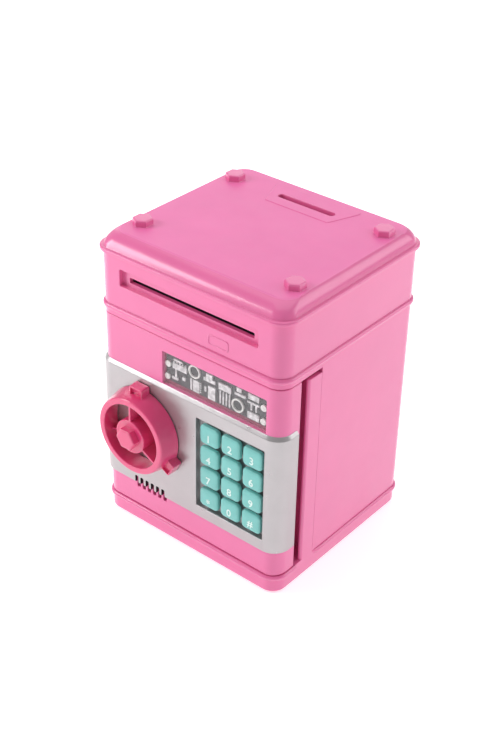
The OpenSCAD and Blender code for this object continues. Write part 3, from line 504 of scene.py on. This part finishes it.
def build_shell():
    b = Build()
    front = [i for i in range(len(PLAN)) if not CUT_R <= i < CUT_L]
    sides = [i for i in range(len(PLAN)) if CUT_R <= i < CUT_L]
    foot = b.loop(ring(-0.35, 12.25))
    foot2 = b.loop(ring(0, 12.6))
    low = b.loop(ring(0, 134.9))
    low_in = b.loop(ring(-WALL, 134.9))
    foot_in = b.loop(ring(-WALL, 12.25))
    # Walls below the header.
    b.bridge(foot_in, foot, only=sides)
    b.bridge(foot, foot2, only=sides)
    b.bridge(foot2, low, only=sides)
    b.bridge(low_in, foot_in, only=sides)
    for i in (CUT_R, CUT_L):
        b.face((foot_in[i], foot[i], foot2[i], low[i], low_in[i]))
    # Header with the bead, then inside and the flange.
    up = [low] + [b.loop(ring(g, 139.3 + d)) for g, d in BEAD]
    top = b.loop(ring(-0.02, 141.0))
    top_in = b.loop(ring(-WALL, 141.0))
    flange_out = b.loop(ring(-WALL, 136.9))
    b.loft(up + [top, top_in, flange_out])
    # Flange opening: one point for each point of the plan.
    opening = []
    for x, y, nx, ny in PLAN:
        k = 1.0 / max(abs(x) / 52.5, (abs(y - 8) / 38.0), 1e-6)
        opening.append((x * min(k, 1), 8 + (y - 8) * min(k, 1)))
    o_top = b.loop([(x, y, 136.9) for x, y in opening])
    o_low = b.loop([(x, y, 134.9) for x, y in opening])
    b.loft([flange_out, o_top, o_low, low_in])
    b.bridge(low, low_in, only=front)
    for x, y in ((-56, 51), (56, 51), (-57.6, -20), (57.6, -20)):
        loops = [b.loop(circle_at(x, y, 3.4, 24, z)) for z in (12.3, 24)]
        b.loft(loops)
        b.flat([loops[0]], (0, 1))
        b.flat([loops[1]], (0, 1))
    return finish_piece(b, "shell_moulding", "housing", PINK, "body_shell")


def post(b, outline, z0, z1, e=0.6):
    """Upright post: a plan outline, with a soft top edge."""
    loops = []
    for g, z in ((0, z0), (0, z1 - e), (0.3 * e, z1 - 0.3 * e), (e, z1)):
        pts = offset_poly_any(outline, -g)
        loops.append(b.loop([(x, y, z) for x, y in pts]))
    b.loft(loops)
    b.flat([loops[0]], (0, 1))
    b.flat([loops[-1]], (0, 1))


def offset_poly_any(pts, d):
    """Any simple outline, counterclockwise, moved outwards by d along its corner normals."""
    if d == 0:
        return list(pts)
    n = len(pts)
    out = []
    for i in range(n):
        a, p, c = Vector(pts[i - 1]), Vector(pts[i]), Vector(pts[(i + 1) % n])
        t0, t1 = (p - a), (c - p)
        if t0.length < 1e-6 or t1.length < 1e-6:
            out.append(tuple(p))
            continue
        t0.normalize(), t1.normalize()
        m0, m1 = Vector((t0.y, -t0.x)), Vector((t1.y, -t1.x))
        m = m0 + m1
        k = d / max(0.35, m.length_squared / 2)
        out.append(tuple(p + m * k))
    return out


def build_plinth():
    b = Build()

    def fade(x, y):
        return 0.0 if abs(x) > HX - 0.01 and -41.6 < y < -24 else 1.0
    out = [(-1.3, 0.8), (-0.75, 0.95), (-0.3, 1.3), (-0.06, 1.8), (0, 2.4), (0, 9.1)]
    loops = [b.loop(ring(g, z)) for g, z in out]
    for g, d in BEAD[:-1]:
        loops.append(b.loop(ring(g, 10.75 + d * 0.9, fade)))
    loops.append(b.loop(ring(0.28, 12.2, fade)))
    opening = []
    for x, y, nx, ny in PLAN:
        k = 1.0 / max(abs(x) / 30.2, abs(y) / 24.6)
        opening.append((x * k, y * k))
    loops.append(b.loop([(x, y, 12.2) for x, y in opening]))
    loops.append(b.loop([(x, y, 9.6) for x, y in opening]))
    loops.append(b.loop(ring(-WALL, 9.6)))
    loops.append(b.loop(ring(-WALL, 0.95)))
    b.loft(loops, closed=True)
    for x in (-48, 48):
        for y in (-43, 43):
            rim = [b.loop(circle_at(x, y, 6, 32, z)) for z in (2.2, 9.8)]
            b.loft(rim)
            b.flat([rim[0]], (0, 1))
            b.flat([rim[1]], (0, 1))
    # Posts: each an L in plan, its outer front corner rounded.
    right = [(50.0, -26.8), (50.0, -29.2), (61.6, -29.2), (61.6, -37.1), (62.1, -37.6)]
    right += arc(64 - 1.7, -37.6 + 1.7, 1.7, -90, 0, 8) + arc(63.88, -26.92, 0.12, 0, 90, 2)
    post(b, right, 12.18, 132.0, 0.6)
    left = [(-61.6, -26.8)] + arc(-63.88, -26.92, 0.12, 90, 180, 2)
    left += arc(-61.2, -40.6, 2.8, 180, 270, 8)
    left += [(-52.0, -43.4), (-52.0, -41.6), (-61.6, -41.6)]
    post(b, left, 12.18, 132.0, 0.6)
    return finish_piece(b, "plinth_moulding", "housing", PINK, "base_plinth")


# ---------------------------------------------------------------- door


def tray(b, x_half, z0, z1, r, y0, y1, e, steps=14):
    """Loops of a shallow tray that faces -Y: big round side corners, small top and bottom edges."""
    loops = []
    for k in range(steps + 1):
        a = math.pi / 2 * k / steps
        d = r * (1 - math.cos(a))
        xh = x_half - r + r * math.sin(a)
        i = e - math.sqrt(max(0.0, e * e - max(0.0, e - d) ** 2))
        loops.append(b.loop([(x, y0 + d, z) for x, z in
                             rrect(-xh, xh, z0 + i, z1 - i, max(e * 0.9, 0.05), 3)]))
    loops.append(b.loop([(x, y1, z) for x, z in
                         rrect(-x_half, x_half, z0, z1, max(e * 0.9, 0.05), 3)]))
    return loops


VENTS = [-37.7 + 4.07 * i for i in range(6)]


def build_door():
    b = Build()
    outer = tray(b, HX, 12.7, 134.3, R, -HY, -44.2, 0.7)
    inner = tray(b, HX - WALL, 15.1, 131.9, R - WALL, -HY + WALL, -44.2, 0.05)
    b.loft(outer)
    b.loft(inner)
    b.bridge(outer[-1], inner[-1])
    holes = []
    for x0, x1, z0, z1, r, e in ((-17.5, 54.0, 106.0, 126.4, 0.7, 0.3),
                                 (6.3, 54.93, 35.6, 97.0, 0.6, 0.05)):
        h = [b.loop([(x, -HY + d, z) for x, z in
                     rrect(x0 - g, x1 + g, z0 - g, z1 + g, r + g, 4)])
             for g, d in fillet(e) + [(0, WALL)]]
        b.loft(h)
        holes.append(h)
    # The sound slots run into one opening behind the fascia.
    comb = []
    for x in VENTS:
        comb += [(x - 1.25, 29.6)] + arc(x - 0.35, 26.2, 0.9, 180, 270, 4)
        comb += arc(x + 0.35, 26.2, 0.9, 270, 360, 4) + [(x + 1.25, 29.6)]
    comb += [(VENTS[-1] + 1.25, 35.0), (VENTS[0] - 1.25, 35.0)]
    h = [b.loop([(x, -HY + d, z) for x, z in offset_poly_any(comb, g)])
         for g, d in fillet(0.2) + [(0, WALL)]]
    b.loft(h)
    holes.append(h)
    b.flat([outer[0]] + [h[0] for h in holes])
    b.flat([inner[0]] + [h[-1] for h in holes])
    for z0, z1 in ((15.0, 24.0), (122.8, 132.0)):
        b.block((54.6, -53.5, z0), (61.8, -46.6, z1))
    return finish_piece(b, "door_moulding", "door", PINK, "door_shell")


def u_plan(g, y1):
    """Half of the case plan that the fascia follows, from right rear to left rear."""
    pts = [(HX + g, y1)]
    pts += [(x, y) for x, y in reversed(arc(HX - R, -HY + R, R + g, -90, 0, 12))]
    pts += [(x, y) for x, y in reversed(arc(R - HX, -HY + R, R + g, 180, 270, 12))]
    pts += [(-HX - g, y1)]
    return pts


def build_fascia():
    b = Build()
    y1 = -46.4
    zg = [(29.3, 0.03), (29.32, 0.7), (29.42, 1.15), (29.7, 1.45), (30.2, 1.6), (103.4, 1.6),
          (103.7, 1.54), (104.0, 1.38), (105.5, 0.34), (105.7, 0.22), (105.8, 0.03)]
    loops = []
    for z, g in zg:
        out = u_plan(g, y1)
        inn = list(reversed(u_plan(0.02, y1)))
        loops.append(b.loop([(x, y, z) for x, y in out + inn]))
    m = len(u_plan(0, y1))
    f_out = 13                    # the front edge of the outer half, arc end to arc start
    f_in = m + (m - 1 - f_out) - 1
    main = 4
    b.loft(loops, skip={main: (f_out, f_in)})
    b.flat([loops[0]], (0, 1))
    b.flat([loops[-1]], (0, 1))
    lo, hi = loops[main], loops[main + 1]
    px0, px1, pz0, pz1 = 7.6, 54.9, 36.9, 95.7
    pocket = [b.loop([(x, FACE_Y + d, z) for x, z in
                      rrect(px0 - g, px1 + g, pz0 - g, pz1 + g, 1.0 + g, 5)])
              for g, d in fillet(0.55) + [(0, 3.6), (-0.12, 3.88), (-0.4, 4.0)]]
    b.loft(pocket)
    b.flat([[lo[f_out], lo[f_out + 1], hi[f_out + 1], hi[f_out]], pocket[0]])
    b.flat([pocket[-1]])
    back = [b.loop([(x, y, z) for x, z in rrect(px0 - 1, 54.92, pz0 - 1, pz1 + 1, 1.0, 3)])
            for y in (-HY - 0.02, -55.9)]
    b.loft(back)
    b.flat([back[-1]])
    b.flat([[lo[f_in], lo[f_in + 1], hi[f_in + 1], hi[f_in]], back[0]])
    o = finish_piece(b, "fascia_moulding", "door", SILVER, "fascia_plate")
    c = Build()
    for x in VENTS:
        h = [c.loop([(px, y, z) for px, z in rrect(x - 1.25, x + 1.25, 26.3, 34.5, 0.9, 4)])
             for y in (-64.0, -58.0)]
        c.loft(h)
        c.flat([h[0]])
        c.flat([h[1]])
    # Painted shade: the vent slot walls get the black moulding, so the slots read as dark as the
    # shade deep inside them.
    cut_mesh(o, c, BLACK)
    return o


def cut_mesh(o, cutter, mat):
    """Takes the cutter's volume out of the object, and gives the cut walls the material."""
    bm = cutter.bm
    bmesh.ops.recalc_face_normals(bm, faces=bm.faces)
    bm.transform(Matrix.Translation((0, MID_Y, 0)) @ Matrix.Scale(MM, 4))
    mesh = bpy.data.meshes.new("cutter")
    bm.to_mesh(mesh)
    bm.free()
    mesh.materials.append(mat)
    co = bpy.data.objects.new("cutter", mesh)
    scene.collection.objects.link(co)
    keep = list(o.modifiers)
    mod = o.modifiers.new("cut", "BOOLEAN")
    mod.object = co
    mod.solver = "EXACT"
    mod.material_mode = "TRANSFER"
    for m in keep:
        m.show_viewport = False
    bpy.context.view_layer.update()
    dg = bpy.context.evaluated_depsgraph_get()
    new = bpy.data.meshes.new_from_object(o.evaluated_get(dg))
    o.modifiers.remove(mod)
    for m in keep:
        m.show_viewport = True
    old = o.data
    o.data = new
    bpy.data.meshes.remove(old)
    bpy.data.objects.remove(co)
    new.polygons.foreach_set("use_smooth", [True] * len(new.polygons))
    new.set_sharp_from_angle(angle=math.radians(32))


# ---------------------------------------------------------------- handwheel


def wheel_point(r, a, h):
    return (KX + r * math.cos(a), -61.7 - h, KZ + r * math.sin(a))


def lobe_radius(phi, tip, half, corner):
    """Distance to the edge of a lobe at angle phi from its middle line."""
    phi = abs(phi)
    x_side = half / math.sin(phi) if phi > 1e-4 else 1e9
    x_tip = tip / math.cos(phi)
    # round corner between tip and side
    cx, cy = tip - corner, half - corner
    d = cx * math.cos(phi) + cy * math.sin(phi)
    disc = corner ** 2 - (cx * math.sin(phi) - cy * math.cos(phi)) ** 2
    r = min(x_side, x_tip)
    a0, a1 = math.atan2(cy, tip), math.atan2(half, cx)
    if a0 < phi < a1 and disc > 0:
        r = d + math.sqrt(disc)
    return r


LOBES = (90, 210, 330)
SPOKES = ((90, 11.3), (198, 6.0), (330, 11.3))
LOBE_H = 6.2
RECESS_H = 4.7


def build_wheel():
    b = Build()
    offs = [0, 2.5, 5, 6.2, 6.8, 7.2, 7.6, 8.0, 8.4, 8.8, 9.2, 9.6, 10.0, 10.4, 10.8, 11.3,
            12.0, 12.8, 14, 16, 20, 25, 30, 35, 40, 45, 50, 55]
    angles = []
    for m in LOBES:
        angles += [m + o for o in offs] + [m - o for o in offs[1:]] + [m + 60]
    angles = sorted(set(round(a % 360, 3) for a in angles))

    def reach(a, tip, half, corner):
        """Distance from the axis to the edge of the nearest lobe, at angle a."""
        phi = min(((a - m + 180) % 360 - 180 for m in LOBES), key=abs)
        return lobe_radius(math.radians(phi), tip, half, corner) if abs(phi) < 16 else 0.0

    def drum(h):
        return 25.7 - 2.3 * h / 11.6

    def circle(h, r):
        return b.loop([wheel_point(r, math.radians(a), h) for a in angles])

    def lobed(h, tip, half, corner, blend=0.9):
        pts = []
        for a in angles:
            r, lr = drum(h) - (0.3 if h == 0 else 0), reach(a, tip, half, corner)
            k = max(0.0, 1 - abs(lr - r) / blend)
            pts.append(wheel_point(max(r, lr) + 0.18 * blend * k * k, math.radians(a), h))
        return b.loop(pts)

    def recess(tip, half, corner, h):
        """The edge of the hollow in each lobe's face. Elsewhere it lies on the drum."""
        pts = []
        for a in angles:
            r = drum(LOBE_H)
            lr = reach(a, tip, half, corner)
            if lr > r:
                pts.append(wheel_point(lr, math.radians(a), h))
            else:
                pts.append(wheel_point(r, math.radians(a), LOBE_H))
        return b.loop(pts)

    def recess_foot():
        r = drum(LOBE_H)
        return b.loop([wheel_point(r, math.radians(a), RECESS_H if reach(a, 28.45, 3.6, 0.4) > r
                                   else LOBE_H) for a in angles])
    loops = []
    for h, i in ((0.0, 0.35), (0.12, 0.1), (0.4, 0.0), (5.65, 0.0), (5.9, 0.06), (6.07, 0.2),
                 (6.17, 0.38), (LOBE_H, 0.6)):
        loops.append(lobed(h, 29.6 - i - 0.04 * h, 5.0 - i - 0.06 * h, 0.9))
    loops += [recess(28.6, 3.75, 0.5, LOBE_H), recess(28.45, 3.6, 0.4, RECESS_H + 0.1),
              recess_foot(), circle(LOBE_H, drum(LOBE_H))]
    for h, i in ((10.7, 0.0), (11.05, 0.06), (11.32, 0.2), (11.5, 0.42), (11.6, 0.75)):
        loops.append(circle(h, drum(h) - i))
    for h, r in ((11.6, 20.35), (11.52, 20.05), (11.35, 19.83), (11.0, 19.7), (6.0, 20.1),
                 (0.4, 20.55), (0.0, 20.7)):
        loops.append(circle(h, r))
    b.loft(loops, closed=True)
    hub = []
    for h, r in ((0.0, 10.5), (10.9, 10.4), (11.25, 10.32), (11.48, 10.12), (11.6, 9.8),
                 (11.6, 9.2), (11.54, 9.0), (11.45, 8.85)):
        hub.append(b.loop([wheel_point(r, math.radians(a), h) for a in range(0, 360, 6)]))
    b.loft(hub)
    b.face(hub[0])
    b.face(hub[-1])
    for m, top in SPOKES:
        am = math.radians(m)
        u, v = Vector((math.cos(am), math.sin(am))), Vector((-math.sin(am), math.cos(am)))
        prof = [(-0.7, 1.0), (0.7, 1.0), (0.7, top - 0.3), (0.6, top - 0.08), (0.35, top),
                (-0.35, top), (-0.6, top - 0.08), (-0.7, top - 0.3)]
        ends = []
        for d in (9.6, 20.9):
            ends.append(b.loop([(KX + (u * d + v * s).x, -61.7 - h, KZ + (u * d + v * s).y)
                                for s, h in prof]))
        b.loft(ends)
        b.face(ends[0])
        b.face(ends[1])
    return finish_piece(b, "wheel_moulding", "knob", WHEEL, "knob_wheel", angle=38)


def build_wheel_cap():
    b = Build()
    loops = []
    for r, h in ((6.9, 11.2), (6.9, 14.6), (6.8, 15.05), (6.5, 15.38), (6.05, 15.57), (5.5, 15.6)):
        hexagon = [(r * math.cos(math.radians(a)), r * math.sin(math.radians(a)))
                   for a in range(0, 360, 60)]
        loops.append(b.loop([(KX + u, -61.7 - h, KZ + v) for u, v in round_poly(hexagon, 0.6, 3)]))
    b.loft(loops)
    b.flat([loops[0]])
    b.flat([loops[-1]])
    return finish_piece(b, "wheel_cap_moulding", "knob", WHEEL, "knob_cap")


# ---------------------------------------------------------------- keys


def build_key(node, char, x, z):
    b = Build()
    loops = []
    steps = [(0.0, -59.1), (0.0, -60.55), (0.05, -60.85), (0.22, -61.15), (0.52, -61.42),
             (0.95, -61.62), (1.5, -61.74), (2.4, -61.82), (3.5, -61.87), (4.6, -61.895)]
    for g, y in steps:
        loops.append(b.loop([(px, y, pz) for px, pz in
                             rrect(x - 6.4 + g, x + 6.4 - g, z - 5.9 + g, z + 5.9 - g,
                                   max(2.3 - g * 0.35, 0.8), 5)]))
    b.loft(loops)
    b.flat([loops[0]])
    b.flat([loops[-1]])
    finish_piece(b, node + "_cap", node, KEY, node, angle=50)
    curve = bpy.data.curves.new(node + "_glyph", "FONT")
    curve.body = char
    curve.size = 6.4 * MM
    curve.extrude = 0.13 * MM
    curve.offset = 0.10 * MM
    curve.align_x = "CENTER"
    curve.resolution_u = 6
    t = bpy.data.objects.new(node + "_glyph", curve)
    scene.collection.objects.link(t)
    bpy.context.view_layer.update()
    mesh = bpy.data.meshes.new_from_object(t.evaluated_get(bpy.context.evaluated_depsgraph_get()))
    bpy.data.objects.remove(t)
    bm = bmesh.new()
    bm.from_mesh(mesh)
    bmesh.ops.remove_doubles(bm, verts=bm.verts, dist=1e-6)
    zs = [v.co.y for v in bm.verts]
    xs = [v.co.x for v in bm.verts]
    cy, cx = (min(zs) + max(zs)) / 2, (min(xs) + max(xs)) / 2
    place = (Matrix.Translation(Vector((x * MM, -61.87 * MM + MID_Y, (z - 1.2) * MM)))
             @ Matrix.Rotation(math.pi / 2, 4, "X") @ Matrix.Translation((-cx, -cy, 0)))
    bm.transform(place)
    bmesh.ops.recalc_face_normals(bm, faces=bm.faces)
    bm.to_mesh(mesh)
    bm.free()
    mesh.materials.clear()
    place_mesh(mesh, node + "_digit", node, DIGIT, angle=30)


# ---------------------------------------------------------------- window card


def build_card():
    b = Build()
    y = -57.3
    b.block((-16.6, y, 108.2), (54.4, y + 1.0, 128.4))
    # Painted shade: a dark magenta margin under and left of the card, in place of the shaded sill
    # and reveal of the window.
    b.mat = 2
    b.block((-19.0, y, 104.6), (54.4, y + 1.0, 108.2))
    b.block((-19.0, y, 108.2), (-16.6, y + 1.0, 128.4))

    def raised(x0, z0, x1, z1, h=0.9, e=0.2):
        b.block((x0, y - h, z0), (x1, y + 0.05, z1), e)

    def ring_at(cx, cz, r_out, r_in, h=1.0):
        loops = [b.loop([(px, y - d, pz) for px, pz, _ in circle_at(cx, cz, r, 32, 0)])
                 for r, d in ((r_out, -0.05), (r_out, h - 0.2), (r_out - 0.2, h), (r_in + 0.2, h),
                              (r_in, h - 0.2), (r_in, -0.05))]
        b.loft(loops, closed=True)

    b.mat = 3
    for cx, cz in ((3.8, 121.4), (33.7, 113.4)):
        ring_at(cx, cz, 4.1, 3.1)
    b.mat = 1
    # Made-up circuit shapes: chips, pads, combs and traces.
    raised(-11.5, 117.6, -1.5, 121.2)
    raised(-10.8, 122.6, -4.5, 123.6, 0.8)
    for i in range(5):
        raised(-10.9 + i * 2.0, 121.2, -10.1 + i * 2.0, 122.4, 0.7, 0.1)
    raised(-12.0, 110.8, -7.6, 112.4)
    raised(-9.8, 112.4, -8.6, 117.6, 0.7, 0.1)
    raised(-4.6, 112.6, -2.4, 114.8)
    raised(1.0, 109.3, 2.2, 116.6, 0.8)
    raised(3.0, 109.3, 7.6, 116.6, 1.0)
    for i in range(5):
        raised(7.6, 110.0 + i * 1.4, 8.8, 110.7 + i * 1.4, 0.7, 0.1)
    raised(10.8, 112.4, 12.2, 115.6, 0.8)
    raised(13.6, 109.2, 18.6, 117.2, 1.0)
    raised(10.2, 119.2, 18.4, 121.4, 0.7)
    raised(12.2, 121.4, 16.6, 124.4, 1.0)
    raised(20.8, 118.4, 29.2, 122.4, 1.0)
    for i in range(4):
        raised(21.4 + i * 2.1, 109.6, 22.3 + i * 2.1, 117.6, 0.8, 0.15)
    raised(31.4, 119.6, 38.8, 121.2, 0.7)
    raised(33.0, 122.2, 36.4, 124.8, 1.0)
    raised(40.0, 118.4, 48.0, 119.6, 0.7)
    raised(40.8, 121.2, 48.0, 124.6, 1.0)
    raised(40.4, 109.4, 48.2, 113.4, 1.0)
    raised(42.2, 114.6, 43.4, 118.4, 0.7, 0.1)
    raised(45.4, 114.6, 46.4, 118.4, 0.7, 0.1)
    return finish_piece(b, "window_relief_card", "door", [CARD, RELIEF, SILL_SHADE_PAINT, LAMP],
                        "window_card")


def build_spring():
    b = Build()
    per, turns, sides = 20, 5, 8
    rings = []
    for i in range(per * turns + 1):
        a = 2 * math.pi * i / per
        rings.append(b.loop([(KX + (2.75 + 0.25 * math.cos(t)) * math.cos(a),
                              -51.5 + (2.75 + 0.25 * math.cos(t)) * math.sin(a),
                              100.25 + 5.1 * i / (per * turns) + 0.25 * math.sin(t))
                             for t in (2 * math.pi * k / sides for k in range(sides))]))
    b.loft(rings)
    b.face(rings[0])
    b.face(rings[-1])
    o = finish_piece(b, "plunger_return_spring", "door", STEEL, "plunger_spring",
                     angle=60)
    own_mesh(o)
    return o


build_lid()
build_hex_caps()
build_head()
build_shell()
build_plinth()
build_door()
build_fascia()
build_wheel()
build_wheel_cap()
chars = (("key_1", "1"), ("key_2", "2"), ("key_3", "3"), ("key_4", "4"), ("key_5", "5"),
         ("key_6", "6"), ("key_7", "7"), ("key_8", "8"), ("key_9", "9"), ("key_star", "*"),
         ("key_0", "0"), ("key_hash", "#"))
for i, (node, char) in enumerate(chars):
    build_key(node, char, 32 + (i % 3 - 1) * 14.9, 66.3 + (1.5 - i // 3) * 14.05)
build_card()
build_spring()

# ---------------------------------------------------------------- carried-over nodes

looks = {
    "mechanism_deck": WHITE, "coin_chute": PINK, "note_guide": BLACK, "note_deflector": WHITE,
    "left_bearing_plate": WHITE, "right_bearing_plate": WHITE, "feed_motor": STEEL,
    "reduction_axle": STEEL, "note_sensor": BLACK, "battery_box": WHITE, "battery_cells": CELL,
    "battery_contacts": STEEL, "rubber_feet": RUBBER, "case_screws": STEEL, "base_screws": STEEL,
    "hinge_pins": STEEL, "strike_plate": STEEL, "motor_pinion": NYLON, "reduction_gear": NYLON,
    "feed_shaft": STEEL, "feed_rollers": RUBBER, "roller_gear": NYLON, "pinch_shaft": STEEL,
    "pinch_rollers": RUBBER, "battery_cover": PINK, "battery_cover_screw": STEEL,
    "window_lens": LENS, "indicator_leds": LAMP, "key_membrane": SOFT_GREY,
    "control_board": BOARD, "speaker": BLACK, "door_back_cover": PINK, "door_screws": STEEL,
    "lock_solenoid": STEEL, "knob_spindle": NYLON, "latch_bolt": STEEL,
    "lock_plunger": STEEL,
}
rounded = {"door_back_cover": 0.5, "battery_cover": 0.4, "battery_box": 0.4, "rubber_feet": 0.5,
           "latch_bolt": 0.2, "strike_plate": 0.1, "indicator_leds": 0.6, "window_lens": 0.1,
           "mechanism_deck": 0.2}
for name, look in looks.items():
    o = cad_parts[name]
    for s in o.material_slots:
        s.material = look
    if name in rounded:
        w = o.modifiers.new("weld", "WELD")
        w.merge_threshold = 2e-6
        soften(o, rounded[name])
        n = o.modifiers.new("normals", "WEIGHTED_NORMAL")
        n.keep_sharp = False

# ---------------------------------------------------------------- floor, light, camera

bm = bmesh.new()
size = 3.0
bm.faces.new([bm.verts.new((x * size, y * size, 0.0))
              for x, y in ((-1, -1), (1, -1), (1, 1), (-1, 1))])
mesh = bpy.data.meshes.new("floor")
bm.to_mesh(mesh)
bm.free()
floor = bpy.data.objects.new("floor", mesh)
scene.collection.objects.link(floor)
pale = material("pale_floor", (0.90, 0.90, 0.90), rough=0.7, mottle=0.004, mottle_size=300,
                grain=0.0, spec=0.2)
pale.node_tree.nodes["Principled BSDF"].inputs["Emission Color"].default_value = (1, 1, 1, 1)
pale.node_tree.nodes["Principled BSDF"].inputs["Emission Strength"].default_value = 0.50
mesh.materials.append(pale)


def area(name, loc, target, size_m, power, colour=(1, 1, 1)):
    light = bpy.data.lights.new(name, "AREA")
    light.shape = "RECTANGLE"
    light.size, light.size_y = size_m
    light.energy = power
    light.color = colour
    o = bpy.data.objects.new(name, light)
    o.location = loc
    o.rotation_mode = "QUATERNION"
    o.rotation_quaternion = (Vector(target) - Vector(loc)).to_track_quat("-Z", "Y")
    scene.collection.objects.link(o)


area("key", (0.88, 0.78, 0.75), (0, 0, 0.09), (0.9, 0.9), 5.6)
area("top", (-0.15, 0.25, 1.35), (0, 0, 0.1), (1.3, 1.3), 4.6)
area("rear_glow", (-0.95, 1.15, 0.80), (0, 0, 0.15), (1.5, 1.0), 4.0)
area("front", (-0.72, -0.54, 0.58), (0, 0, 0.09), (0.5, 0.5), 5.4)

world = bpy.data.worlds.new("studio")
scene.world = world
world.use_nodes = True
bg = world.node_tree.nodes["Background"]
bg.inputs["Color"].default_value = (1, 1, 1, 1)
bg.inputs["Strength"].default_value = 0.40
scene.view_settings.view_transform = "Standard"

cam_data = bpy.data.cameras.new("camera")
cam = bpy.data.objects.new("camera", cam_data)
scene.collection.objects.link(cam)
right = Vector((0.77015, 0.63756, 0.01970))
up = Vector((-0.35938, 0.40820, 0.83918))
back = Vector((0.52698, -0.65337, 0.54350))
rot = Matrix((right, up, back)).transposed()
place = Vector((0.400364, -0.503000 + MID_Y, 0.507683))
cam.matrix_world = Matrix.Translation(place) @ rot.to_4x4()
cam_data.sensor_width = 36.0
cam_data.sensor_fit = "AUTO"
cam_data.lens = 1350.97 * 36.0 / 750
cam_data.shift_y = (372 - 375) / 750
cam_data.clip_start = 0.05
cam_data.clip_end = 20
scene.camera = cam
